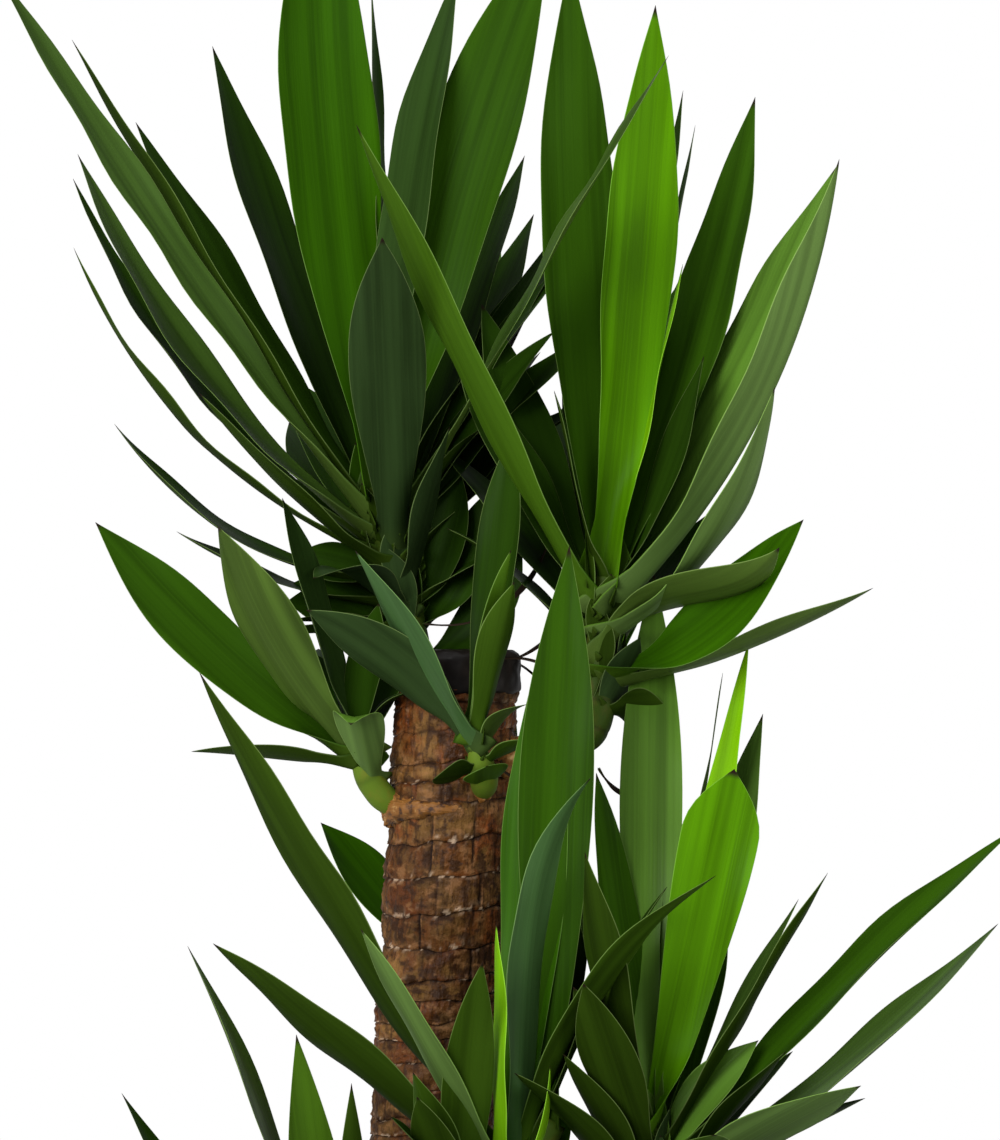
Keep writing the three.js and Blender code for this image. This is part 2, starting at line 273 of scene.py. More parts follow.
class Shader:
    """Node tree of one material, with short calls to add and wire its nodes."""

    def __init__(self, name: str) -> None:
        """Start a material with a bare Principled shader."""
        self.material = bpy.data.materials.new(name)
        self.material.use_nodes = True
        self.tree = self.material.node_tree
        self.surface = self.tree.nodes["Principled BSDF"]

    def put(self, socket: bpy.types.NodeSocket, value: object) -> None:
        """Wire an output to a socket, or set the socket to a plain value."""
        if isinstance(value, bpy.types.NodeSocket):
            self.tree.links.new(value, socket)
        elif isinstance(value, tuple) and len(value) == 3 and socket.type == "RGBA":
            socket.default_value = (*value, 1.0)
        else:
            socket.default_value = value

    def node(self, kind: str, inputs: dict[str | int, object], **settings: object) -> bpy.types.Node:
        """Add a node.

        Args:
            kind: Type of the node.
            inputs: Outputs to wire or values to set, by socket.
            **settings: Properties of the node.

        Returns:
            The node.
        """
        made = self.tree.nodes.new(kind)
        for key, value in settings.items():
            setattr(made, key, value)
        for key, value in inputs.items():
            self.put(made.inputs[key], value)
        return made

    def finish(self, **sockets: object) -> bpy.types.Material:
        """Set the shader's sockets, with _ for a space in their names, and return the material."""
        for key, value in sockets.items():
            self.put(self.surface.inputs[key.replace("_", " ")], value)
        return self.material

    def place(self, scale: Point = (1.0, 1.0, 1.0), uv: str = "") -> bpy.types.NodeSocket:
        """Object coordinates, or those of a UV map, stretched by a scale."""
        if uv:
            source = self.node("ShaderNodeUVMap", {}, uv_map=uv).outputs["UV"]
        else:
            source = self.node("ShaderNodeTexCoord", {}).outputs["Object"]
        return self.node("ShaderNodeMapping", {"Vector": source, "Scale": scale}).outputs["Vector"]

    def noise(self, where: bpy.types.NodeSocket, scale: float, detail: float = 3.0) -> bpy.types.NodeSocket:
        """Soft noise from 0 to 1."""
        inputs = {"Vector": where, "Scale": scale, "Detail": detail, "Roughness": 0.55}
        return self.node("ShaderNodeTexNoise", inputs).outputs["Fac"]

    def value(self, name: str) -> bpy.types.NodeSocket:
        """Number that the mesh keeps for each point."""
        return self.node("ShaderNodeAttribute", {}, attribute_name=name).outputs["Fac"]

    def span(
        self, value: bpy.types.NodeSocket, low: float, high: float, start: float = 0.0, end: float = 1.0
    ) -> bpy.types.NodeSocket:
        """Value mapped from low-high to start-end and held there."""
        inputs = {"Value": value, "From Min": low, "From Max": high, "To Min": start, "To Max": end}
        return self.node("ShaderNodeMapRange", inputs, interpolation_type="SMOOTHSTEP").outputs["Result"]

    def times(self, first: object, second: object) -> bpy.types.NodeSocket:
        """Product of two numbers."""
        return self.node("ShaderNodeMath", {0: first, 1: second}, operation="MULTIPLY").outputs["Value"]

    def blend(self, share: object, first: object, second: object, way: str = "MIX") -> bpy.types.NodeSocket:
        """Two colours mixed by a share."""
        inputs = {0: share, 6: first, 7: second}
        made = self.node("ShaderNodeMix", inputs, data_type="RGBA", blend_type=way)
        return made.outputs[2]

    def bump(self, height: bpy.types.NodeSocket, strength: float, depth: float) -> bpy.types.NodeSocket:
        """Normal that follows a height."""
        inputs = {"Height": height, "Strength": strength, "Distance": depth}
        return self.node("ShaderNodeBump", inputs).outputs["Normal"]


class Tint(Enum):
    """Leaf colours, dealt out leaf by leaf."""

    DEEP = "deep"
    MID = "mid"
    FRESH = "fresh"
    LIME = "lime"
    GREY = "grey"
    SHADE = "shade"
    PALE = "pale"
    TEAL = "teal"
    YOUNG = "young"
    DRY = "dry"


LEAF_MAP = "Leaf"
BAKE_MAP = "OFBake"
ALONG = "along"
RIM = "rim"


@dataclass(frozen=True)
class LeafFinish:
    """Waxy leaf skin: fine veins along the blade, a pale rim, a paler heel and a dried brown tip."""

    tint: Tint
    upper: Colour
    under: Colour
    rough: float = 0.36
    specular: float = 0.03
    heel: Colour = (0.085, 0.135, 0.018)
    rim: Colour = (0.30, 0.38, 0.14)
    rim_share: float = 0.3
    tip: Colour = (0.016, 0.009, 0.006)

    def skin(self, side: str, colour: Colour, rough: float) -> bpy.types.Material:
        """Material of one face of the blade.

        Args:
            side: Upper or under, for the name.
            colour: Mean colour of the face.
            rough: Mean roughness.

        Returns:
            The material.
        """
        shader = Shader(f"leaf_{self.tint.value}_{side}")
        veins = shader.noise(shader.place((700.0, 5.0, 1.0), LEAF_MAP), 1.0, 2.0)
        bands = shader.noise(shader.place((95.0, 1.8, 1.0), LEAF_MAP), 1.0, 2.0)
        clouds = shader.noise(shader.place((40.0, 14.0, 1.0), LEAF_MAP), 1.0, 2.0)
        dark = tuple(0.66 * part for part in colour)
        light = tuple(1.38 * part for part in colour)
        shade = shader.blend(shader.span(bands, 0.32, 0.68), dark, light)
        shade = shader.blend(shader.span(clouds, 0.3, 0.7, 0.0, 0.5), shade, colour)
        shade = shader.blend(shader.span(veins, 0.45, 0.75, 0.0, 0.4), shade, light)
        along = shader.value(ALONG)
        shade = shader.blend(shader.span(along, 0.0, 0.12, 0.3, 0.0), shade, self.heel)
        edge = tuple(mix(2.0 * part, pale, self.rim_share) for part, pale in zip(colour, self.rim))
        rim = shader.times(shader.span(shader.value(RIM), 0.3, 0.9), shader.span(along, 0.06, 0.24))
        shade = shader.blend(rim, shade, edge)
        shade = shader.blend(shader.span(along, 0.972, 0.992), shade, self.tip)
        gloss = shader.span(clouds, 0.25, 0.75, rough - 0.06, rough + 0.1)
        normal = shader.bump(veins, 0.25, 0.0006)
        return shader.finish(
            Base_Color=shade, Roughness=gloss, Normal=normal, Specular_IOR_Level=self.specular
        )

    def materials(self) -> list[bpy.types.Material]:
        """Upper and under material."""
        return [
            self.skin("upper", self.upper, self.rough),
            self.skin("under", self.under, self.rough + 0.14),
        ]


@dataclass(frozen=True)
class BarkFinish:
    """Ringed bark: plates of several browns with a painted highlight in the middle of each, dark cracks with
    a groove painted dark as shade under each lip, tan lips partly painted as highlight, and cream flecks on
    the rings.
    """

    olive: Colour = (0.110, 0.052, 0.014)
    umber: Colour = (0.038, 0.015, 0.006)
    # Painted highlight colour for the middle of each plate
    painted_highlight: Colour = (0.290, 0.145, 0.038)
    rust: Colour = (0.230, 0.058, 0.010)
    crack: Colour = (0.008, 0.003, 0.002)
    # Tan of the lips: partly their own lighter colour, partly painted highlight on the crests
    lip: Colour = (0.340, 0.160, 0.060)
    fleck: Colour = (0.78, 0.56, 0.38)

    def material(self) -> bpy.types.Material:
        """Bark coloured by the values that its relief keeps on the mesh."""
        shader = Shader("bark")
        fibres = shader.noise(shader.place((380.0, 380.0, 70.0)), 1.0, 5.0)
        blotches = shader.noise(shader.place(), 60.0, 5.0)
        grains = shader.noise(shader.place(), 420.0, 3.0)
        mottle = shader.noise(shader.place((1.0, 1.0, 1.5)), 105.0, 4.0)
        plate = shader.blend(shader.value("tone"), self.umber, self.olive)
        # Painted highlight: the middle of each bulging plate is drawn lighter, as if it caught the light
        lit = shader.times(shader.value("highlight_share"), shader.span(blotches, 0.36, 0.58))
        plate = shader.blend(lit, plate, self.painted_highlight)
        ruddy = shader.times(shader.value("rust"), shader.span(blotches, 0.60, 0.40))
        plate = shader.blend(ruddy, plate, self.rust)
        plate = shader.blend(shader.span(fibres, 0.46, 0.66, 0.0, 0.8), plate, self.umber)
        plate = shader.blend(shader.span(mottle, 0.50, 0.37, 0.0, 0.85), plate, self.umber)
        plate = shader.blend(shader.span(mottle, 0.54, 0.68, 0.0, 0.6), plate, self.lip)
        # Tan on the lip crests: partly the lighter colour of the worn lip, partly painted highlight where the
        # crest faces the light
        worn = shader.times(shader.value("lip"), shader.span(grains, 0.38, 0.6))
        plate = shader.blend(worn, plate, self.lip)
        # Crack colour in the cracks, and as painted shade in the groove under each lip
        plate = shader.blend(shader.value("crack"), plate, self.crack)
        specks = shader.span(grains, 0.32, 0.46)
        plate = shader.blend(shader.times(shader.value("fleck"), specks), plate, self.fleck)
        normal = shader.bump(shader.blend(0.5, fibres, grains), 1.0, 0.0020)
        gloss = shader.span(blotches, 0.3, 0.7, 0.34, 0.6)
        return shader.finish(Base_Color=plate, Roughness=gloss, Normal=normal, Specular_IOR_Level=0.14)


@dataclass(frozen=True)
class WaxFinish:
    """Dark wax that seals the cut end of a cane."""

    colour: Colour = (0.009, 0.006, 0.005)
    bloom: Colour = (0.026, 0.018, 0.014)

    def material(self) -> bpy.types.Material:
        """Dull wax with a grey bloom and fine wrinkles."""
        shader = Shader("wax")
        patches = shader.noise(shader.place(), 55.0)
        wrinkles = shader.noise(shader.place((1.0, 1.0, 0.4)), 240.0, 2.0)
        shade = shader.blend(shader.span(patches, 0.4, 0.75), self.colour, self.bloom)
        gloss = shader.span(patches, 0.3, 0.7, 0.38, 0.56)
        normal = shader.bump(wrinkles, 0.2, 0.0006)
        return shader.finish(Base_Color=shade, Roughness=gloss, Normal=normal, Specular_IOR_Level=0.2)


@dataclass(frozen=True)
class ClayFinish:
    """Unglazed clay with turning lines, lime bloom and damp near the foot."""

    clay: Colour = (0.46, 0.19, 0.095)
    pale: Colour = (0.58, 0.30, 0.18)
    bloom: Colour = (0.66, 0.52, 0.42)
    damp: Colour = (0.30, 0.115, 0.06)
    damp_height: float = 0.09

    def material(self) -> bpy.types.Material:
        """Clay coloured by height and patches."""
        shader = Shader("clay")
        where = shader.place()
        patches = shader.noise(where, 11.0, 5.0)
        lines = shader.noise(shader.place((2.0, 2.0, 330.0)), 1.0, 2.0)
        sand = shader.noise(where, 900.0, 2.0)
        height = shader.node("ShaderNodeSeparateXYZ", {"Vector": where}).outputs["Z"]
        shade = shader.blend(shader.span(patches, 0.35, 0.7), self.clay, self.pale)
        shade = shader.blend(shader.span(height, 0.0, self.damp_height, 0.6, 0.0), shade, self.damp)
        shade = shader.blend(shader.span(lines, 0.45, 0.7, 0.0, 0.3), shade, self.damp)
        chalk = shader.times(shader.span(patches, 0.5, 0.72), shader.span(sand, 0.35, 0.6))
        shade = shader.blend(shader.times(chalk, 0.6), shade, self.bloom)
        gloss = shader.span(patches, 0.3, 0.7, 0.74, 0.92)
        normal = shader.bump(shader.blend(0.4, lines, sand), 0.35, 0.0008)
        return shader.finish(Base_Color=shade, Roughness=gloss, Normal=normal, Specular_IOR_Level=0.25)


@dataclass(frozen=True)
class EarthFinish:
    """Potting mix, or one kind of crumb in it."""

    name: str
    dark: Colour
    light: Colour
    scale: float = 260.0

    def material(self) -> bpy.types.Material:
        """Two tones in fine grains."""
        shader = Shader(self.name)
        grains = shader.noise(shader.place(), self.scale, 5.0)
        shade = shader.blend(shader.span(grains, 0.35, 0.7), self.dark, self.light)
        normal = shader.bump(grains, 0.6, 0.002)
        return shader.finish(Base_Color=shade, Roughness=0.95, Normal=normal, Specular_IOR_Level=0.2)


@dataclass(frozen=True)
class StemFinish:
    """Young stem: tan where it leaves the cane, then yellow-green, ringed by leaf scars."""

    name: str = "stem"
    foot: Colour = (0.13, 0.080, 0.016)
    green: Colour = (0.040, 0.075, 0.007)
    scar: Colour = (0.020, 0.030, 0.006)

    def material(self) -> bpy.types.Material:
        """Stem coloured along its length."""
        shader = Shader(self.name)
        patches = shader.noise(shader.place(), 120.0)
        rise = shader.value(ALONG)
        shade = shader.blend(shader.span(rise, 0.04, 0.3), self.foot, self.green)
        shade = shader.blend(shader.times(shader.value("scar"), 0.7), shade, self.scar)
        shade = shader.blend(shader.span(patches, 0.45, 0.8, 0.0, 0.5), shade, self.foot)
        normal = shader.bump(patches, 0.3, 0.001)
        return shader.finish(Base_Color=shade, Roughness=0.5, Normal=normal, Specular_IOR_Level=0.08)


@dataclass(frozen=True)
class CallusFinish:
    """Corky ochre swelling where a shoot broke through the bark."""

    ochre: Colour = (0.270, 0.105, 0.014)
    brown: Colour = (0.052, 0.017, 0.005)
    cream: Colour = (0.62, 0.38, 0.14)

    def material(self) -> bpy.types.Material:
        """Ochre scales with brown gaps and cream on the crests as a painted highlight."""
        shader = Shader("callus")
        lumps = shader.noise(shader.place(), 190.0, 4.0)
        shade = shader.blend(shader.span(lumps, 0.34, 0.50), self.brown, self.ochre)
        # Painted highlight: the crests of the bumps are drawn pale cream, as if lit
        shade = shader.blend(shader.span(lumps, 0.56, 0.72, 0.0, 0.8), shade, self.cream)
        return shader.finish(Base_Color=shade, Roughness=0.6, Normal=shader.bump(lumps, 0.6, 0.002))


@dataclass(frozen=True)
class FloorFinish:
    """Plain pale studio floor."""

    pale: Colour = (0.80, 0.80, 0.79)
    shade: Colour = (0.77, 0.77, 0.765)

    def material(self) -> bpy.types.Material:
        """Nearly even white with a faint mottle."""
        shader = Shader("studio_floor")
        mottle = shader.noise(shader.place(), 3.0)
        return shader.finish(Base_Color=shader.blend(mottle, self.pale, self.shade), Roughness=0.7)


LEAF_FINISHES = (
    LeafFinish(Tint.DEEP, (0.013, 0.036, 0.002), (0.021, 0.044, 0.003), specular=0.015),
    LeafFinish(Tint.MID, (0.021, 0.062, 0.002), (0.030, 0.066, 0.004), specular=0.02),
    LeafFinish(Tint.FRESH, (0.025, 0.086, 0.001), (0.038, 0.090, 0.004)),
    LeafFinish(Tint.LIME, (0.066, 0.195, 0.001), (0.075, 0.195, 0.004)),
    LeafFinish(Tint.YOUNG, (0.150, 0.370, 0.002), (0.150, 0.360, 0.004)),
    LeafFinish(Tint.GREY, (0.040, 0.084, 0.011), (0.054, 0.098, 0.013), specular=0.08),
    LeafFinish(Tint.SHADE, (0.020, 0.045, 0.008), (0.025, 0.050, 0.013)),
    LeafFinish(Tint.PALE, (0.072, 0.160, 0.016), (0.092, 0.162, 0.036), specular=0.06),
    LeafFinish(Tint.TEAL, (0.034, 0.102, 0.024), (0.045, 0.104, 0.028), rough=0.28, specular=0.12),
    LeafFinish(Tint.DRY, (0.022, 0.014, 0.009), (0.040, 0.026, 0.018), rough=0.6, rim_share=0.0),
)


@dataclass(frozen=True)
class Leaf:
    """One leaf, in degrees and millimetres.

    Lean is to the right, toward is to the front, bow is arched or sagging, roll turns the upper face to
    the front, rise moves the root up the stem, fold is the depth of a fold along the rib, curl an S in
    its arch, bend the degrees that its end is bent back and full moves its widest place to the tip. A
    leaf with a seat starts there instead of by rule.
    """

    lean: float
    toward: float
    long: float
    wide: float
    bow: float = 0.0
    roll: float = 0.0
    rise: float = 0.0
    fold: float = 0.0
    curl: float = 0.0
    bend: float = 0.0
    full: float = 0.0
    tint: Tint = Tint.DEEP
    seat: Point | None = None

    @property
    def aim(self) -> Array:
        """Direction of the leaf."""
        lean, toward = math.radians(self.lean), math.radians(self.toward)
        level = math.cos(toward)
        return np.array((math.sin(lean) * level, -math.sin(toward), math.cos(lean) * level))

    @property
    def turn(self) -> float:
        """Turn of the blade about its direction, in radians."""
        return math.radians(self.roll) * (1 if self.lean >= 0 else -1)


def dealt(rows: dict[Tint, list[Leaf]]) -> list[Leaf]:
    """Leaves of some rows, each with the tint of its row."""
    return [replace(leaf, tint=tint) for tint, leaves in rows.items() for leaf in leaves]


@dataclass(frozen=True)
class FillRow:
    """A seeded row of leaves for the back and the underside of a head, as from-to pairs."""

    count: int
    lean: tuple[float, float]
    toward: tuple[float, float]
    long: tuple[float, float]
    wide: tuple[float, float]
    lean_step: float = 0.618034
    long_step: float = 0.37
    long_start: float = 0.2
    grown: tuple[float, float] = (0.9, 1.1)
    bow: tuple[float, float] = (0.02, 0.08)
    roll: float = 18.0
    roll_step: float = LEAF_TURN
    tints: tuple[Tint, ...] = (Tint.MID, Tint.DEEP, Tint.FRESH, Tint.DEEP, Tint.MID, Tint.GREY)

    def leaf(self, index: int) -> Leaf:
        """Leaf of the row by its place: lean by the golden ratio, length and roll by fixed steps."""
        share = (index + 0.5) / self.count
        grown = mix(*self.grown, (index * self.long_step + self.long_start) % 1)
        long = mix(*self.long, share) * grown
        return Leaf(
            lean=mix(*self.lean, ((index + 1) * self.lean_step) % 1),
            toward=mix(*self.toward, share),
            long=long,
            wide=mix(*self.wide, share),
            bow=long * mix(*self.bow, share),
            roll=self.roll * math.sin(index * self.roll_step),
            tint=self.tints[index % len(self.tints)],
        )


@dataclass(frozen=True)
class BladeShape:
    """Outline and section of a blade, as shares of its length or half width, or in metres.

    The heel is the lower part, over which the cup flattens and the waves of the edges begin. The curl scale
    makes a leaf's curl the height of its S in millimetres.
    """

    root_share: float = 0.34
    sheath: float = 0.34
    sheath_length: float = 0.13
    widest_at: float = 0.58
    full_reach: float = 0.3
    tip_power: float = 2.2
    tip_pinch: float = 0.22
    turned_by: float = 0.35
    sink: float = 0.4
    upright_span: float = 85.0
    cup_heel: float = 0.85
    cup_blade: float = 0.15
    margin: float = 0.6 * MM
    bend_from: float = 0.72
    edge_wave: float = 1.4 * MM
    wave_length: tuple[float, float] = (0.07, 0.13)
    heel: float = 0.3
    heel_stiff: float = 0.2
    cup_spread: tuple[float, float] = (-0.04, 0.06)
    twist: float = 0.08
    sway: float = 0.002
    curl_scale: float = 10.4
    tip_gap: float = 0.012
    least_half: float = 0.12 * MM
    margin_most: float = 0.3
    thick_heel: float = 3.2 * MM
    thick_blade: float = 1.1 * MM
    thick_tip: float = 0.35
    thick_most: float = 1.2
    thick_edge: float = 0.7
    stations: int = 34
    across: int = 10

    def half_width(self, leaf: Leaf, share: Array) -> Array:
        """Half the width of a leaf at shares of its length, in metres."""
        widest = self.widest_at + self.full_reach * leaf.full
        rising = mix(self.root_share, 1.0, smooth(share / widest))
        rising = rising + self.sheath * (1 - smooth(share / self.sheath_length))
        past = np.clip((share - widest) / (1 - widest), 0.0, 1.0)
        falling = (1 - past**self.tip_power) * (1 - self.tip_pinch * past**2)
        return 0.5 * leaf.wide * MM * np.where(share < widest, rising, falling)


BLADE = BladeShape()


@dataclass(frozen=True)
class HeartShape:
    """Young rolled-up leaves of a heart: degrees, millimetres and shares of the head's longest leaf."""

    lean: float = 7.0
    back: float = 20.0
    nod: float = 6.0
    long: tuple[float, float] = (0.34, 0.5)
    wide: tuple[float, float] = (9.0, 17.0)
    roll: float = 30.0
    roll_step: float = 1.7
    fold: float = 0.9


@dataclass(frozen=True)
class BractShape:
    """Old leaf bases on a stem: reach in shares of the stem's length, sizes in its radius."""

    reach: tuple[float, float]
    wide: float
    tints: tuple[Tint, ...]
    long: tuple[float, float] = (3.4, 5.0)
    long_step: float = 0.618
    spread: float = 0.10
    seat: float = 0.5
    probe: float = 0.02


@dataclass(frozen=True)
class StemShape:
    """Slimness of a stem along its length, as shares of its radius, and the leaf scars round it."""

    rings: int
    slim: tuple[float, float]
    slim_reach: float = 0.5
    top: float = 0.7
    round_top: float = 4.0
    least: float = 0.02
    plain: float = 0.97
    scar: float = 0.03
    scar_width: float = 0.07
    probe: float = 0.01
    around: int = 28
    along: int = 96


@dataclass(frozen=True)
class CallusShape:
    """Corky swelling in radii of its stem: out, round and up, with two sizes of lumps.

    Where it is drawn out to a ledge it is thinner and lower by these shares.
    """

    size: Point = (0.85, 1.5, 1.2)
    thinner: float = 0.6
    lower: float = 0.7
    lumps: tuple[tuple[float, float], ...] = ((0.16, 0.9), (0.10, 0.35))
    sunk: float = 0.1
    drop: float = 0.25
    seed_step: int = 40


HEART = HeartShape()
OLD_BRACTS = BractShape((0.60, 0.88), 2.0, (Tint.DEEP, Tint.SHADE, Tint.MID))
YOUNG_BRACTS = BractShape((0.42, 0.72), 3.2, (Tint.FRESH, Tint.MID))
OLD_STEM = StemShape(9, (0.78, 0.95))
YOUNG_STEM = StemShape(2, (0.75, 1.0))
CALLUS = CallusShape()


@dataclass
class LeafHead:
    """Head of leaves on one stem that grows out of a cane."""

    name: str
    cane: str
    radius: float
    stem: tuple[Point, Point, Point, Point]
    rows: dict[Tint, list[Leaf]]
    fill: list[FillRow]
    inner: dict[Tint, list[Leaf]]
    heart: int = 4
    callus: float = 1.0
    ledge: float = 0.0
    bases: int = 9
    seed: int = 1
    grown: list[Leaf] = field(default_factory=list)

    @property
    def young(self) -> bool:
        """Whether this is a small shoot with a smooth stem."""
        return self.radius < YOUNG_RADIUS

    def __post_init__(self) -> None:
        """Take the rows as leaves."""
        self.grown = dealt(self.rows)

    def root(self, leaf: Leaf) -> Array:
        """Where a leaf leaves the stem: upright ones at the top, spreading ones lower."""
        if leaf.seat is not None:
            return np.array(leaf.seat) * MM
        low, high = np.array(self.stem[2]), np.array(self.stem[3])
        polar = math.degrees(math.acos(leaf.aim[2]))
        share = np.clip(1 - polar / BLADE.upright_span, 0.0, 1.0)
        outward = leaf.aim * (1.0, 1.0, 0.0) * self.radius * BLADE.sink
        return (mix(low, high, share) + unit(high - low) * leaf.rise + outward) * MM

    def rib(self, leaf: Leaf, share: Array) -> Array:
        """Points of a leaf's rib at shares of its length."""
        aim = leaf.aim
        polar = math.acos(aim[2])
        inward = UP * math.sin(polar) - unit(aim * (1.0, 1.0, 0.0)) * math.cos(polar)
        arch = share * (1 - share) * (4 * leaf.bow + BLADE.curl_scale * leaf.curl * (1 - 2 * share)) * MM
        return self.root(leaf) + np.outer(leaf.long * MM * share, aim) + np.outer(arch, inward)

    def room(
        self, leaf: Leaf, start: float = 0.2, steps: int = 12, width: float = 0.75
    ) -> tuple[Array, Array]:
        """Rib points with the reach of the blade round each."""
        share = np.linspace(start, 1.0, steps + 1)
        past = np.clip((share - BLADE.widest_at) / (1 - BLADE.widest_at), 0.0, 1.0)
        rising = mix(BLADE.root_share, 1.0, smooth(share / BLADE.widest_at))
        reach = np.where(share < BLADE.widest_at, rising, 1 - past**BLADE.tip_power)
        return self.rib(leaf, share), 0.5 * leaf.wide * MM * width * reach

    def inner_leaves(self) -> list[Leaf]:
        """Smaller leaves among the rows, and young rolled-up ones at the back of the heart."""
        made = dealt(self.inner)
        longest = max(leaf.long for leaf in self.grown)
        for index in range(self.heart):
            share = (index + 0.5) / self.heart
            turn = LEAF_TURN * index + self.seed
            made.append(
                Leaf(
                    lean=HEART.lean * math.sin(turn),
                    toward=-HEART.back - HEART.nod * math.cos(turn),
                    long=longest * mix(*HEART.long, share),
                    wide=mix(*HEART.wide, share),
                    roll=HEART.roll * math.sin(HEART.roll_step * index),
                    fold=HEART.fold,
                    tint=Tint.MID if index % 2 else Tint.FRESH,
                )
            )
        return made

    def bracts(self) -> list[Leaf]:
        """Old leaf bases that clasp the stem between the cane and the head."""
        shape = YOUNG_BRACTS if self.young else OLD_BRACTS
        made = []
        for index in range(self.bases):
            share = np.array([mix(*shape.reach, index / self.bases)])
            along = unit(self.stem_line(share + shape.probe) - self.stem_line(share - shape.probe))[0]
            across = unit(np.cross(NORTH, along))
            turn = LEAF_TURN * index + self.seed
            outward = across * math.cos(turn) + np.cross(along, across) * math.sin(turn)
            aim = unit(along + shape.spread * outward)
            flat = unit(np.cross(UP, aim))
            roll = math.atan2(outward @ flat, -outward @ np.cross(aim, flat))
            made.append(
                Leaf(
                    lean=math.degrees(math.atan2(aim[0], aim[2])),
                    toward=math.degrees(math.asin(-aim[1])),
                    long=self.radius * mix(*shape.long, (index * shape.long_step) % 1),
                    wide=self.radius * shape.wide,
                    roll=math.degrees(roll) * (1 if aim[0] >= 0 else -1),
                    tint=shape.tints[index % len(shape.tints)],
                    seat=tuple(self.stem_line(share)[0] / MM + outward * self.radius * shape.seat),
                )
            )
        return made

    def blade(self, leaf: Leaf, rng: np.random.Generator) -> dict[str, Array]:
        """Arrays of one closed blade.

        Args:
            leaf: The leaf.
            rng: Source of its waves.

        Returns:
            Points, faces, sides of the blade (0 upper, 1 under), both UV maps, shares along and the rim.
        """
        long = leaf.long * MM
        share = np.append(np.linspace(0.0, 1.0 - BLADE.tip_gap, BLADE.stations), 1.0)
        half = np.maximum(BLADE.half_width(leaf, share), BLADE.least_half)[:, None]
        inner = np.linspace(-1.0, 1.0, BLADE.across + 1)
        ends = np.ones((len(share), 1))
        rimmed = 1 - np.minimum(BLADE.margin / half, BLADE.margin_most)
        across = np.hstack([-ends, rimmed * inner, ends])
        past_heel = smooth(share / BLADE.heel)
        past_stiff = smooth(share / BLADE.heel_stiff)
        cup = mix(BLADE.cup_heel, BLADE.cup_blade, past_heel) + rng.uniform(*BLADE.cup_spread)
        lift = (cup[:, None] * across**2 + leaf.fold * np.abs(across)) * half
        for edge in (-1, 1):
            phase, length = rng.uniform(0, 2 * math.pi), rng.uniform(*BLADE.wave_length)
            ripple = np.sin(2 * math.pi * share * long / length + phase) * past_heel
            strength = BLADE.edge_wave * half / half.max()
            lift += strength * ripple[:, None] * np.clip(across * edge, 0, 1) ** 2
        flat = unit(np.cross(UP, leaf.aim))
        turned = 1.0 if leaf.seat else smooth(share / BLADE.turned_by)
        tilt = leaf.turn * turned + rng.uniform(-BLADE.twist, BLADE.twist) * share
        side = np.outer(np.cos(tilt), flat) + np.outer(np.sin(tilt), np.cross(leaf.aim, flat))
        face = np.cross(leaf.aim, side)
        sway = rng.uniform(-BLADE.sway, BLADE.sway) * long * np.sin(math.pi * share) * past_stiff
        rib = self.rib(leaf, share) + flat * sway[:, None]
        rib, face = self.bent_end(leaf, share, rib, face)
        middle = rib[:, None] + side[:, None] * (across * half)[..., None] + face[:, None] * lift[..., None]
        thick = mix(BLADE.thick_heel, BLADE.thick_blade, past_stiff) * mix(1.0, BLADE.thick_tip, share**3)
        thick = np.minimum(thick[:, None], BLADE.thick_most * half) * (1 - BLADE.thick_edge * across**2)
        offset = face[:, None] * (thick / 2)[..., None]
        count, width = across.shape
        top = np.arange(count * width).reshape(count, width)
        faces, sides, bake = self.blade_faces(top, share)
        metric = np.stack([across * half, np.repeat(share[:, None] * long, width, 1)], -1).reshape(-1, 2)
        rim = np.zeros((count, width))
        rim[:, (0, -1)] = 1.0
        return {
            "points": np.vstack([(middle + offset).reshape(-1, 3), (middle - offset).reshape(-1, 3)]),
            "faces": faces,
            "sides": sides,
            "metric": np.vstack([metric, metric]) + (0.0, rng.uniform(0, 50)),
            "bake": bake,
            "along": np.tile(np.repeat(share, width), 2),
            "rim": np.tile(rim.ravel(), 2),
        }

    @staticmethod
    def bent_end(leaf: Leaf, share: Array, rib: Array, face: Array) -> tuple[Array, Array]:
        """Rib and face directions of a blade with its end bent back on a round bend.

        Args:
            leaf: The leaf.
            share: Shares of its length.
            rib: Rib points before the bend.
            face: Face directions before the bend.

        Returns:
            Rib points and face directions after the bend.
        """
        if not leaf.bend:
            return rib, face
        start = int(np.argmax(share > BLADE.bend_from))
        run = (share[start:] - share[start])[:, None] * leaf.long * MM
        turn = math.radians(leaf.bend) * run / run[-1]
        radius = run[-1] / math.radians(leaf.bend)
        back = face[start]
        rib, face = rib.copy(), face.copy()
        rib[start:] = rib[start] + radius * (np.sin(turn) * leaf.aim - (1 - np.cos(turn)) * back)
        face[start:] = np.cos(turn) * back + np.sin(turn) * leaf.aim
        return rib, face

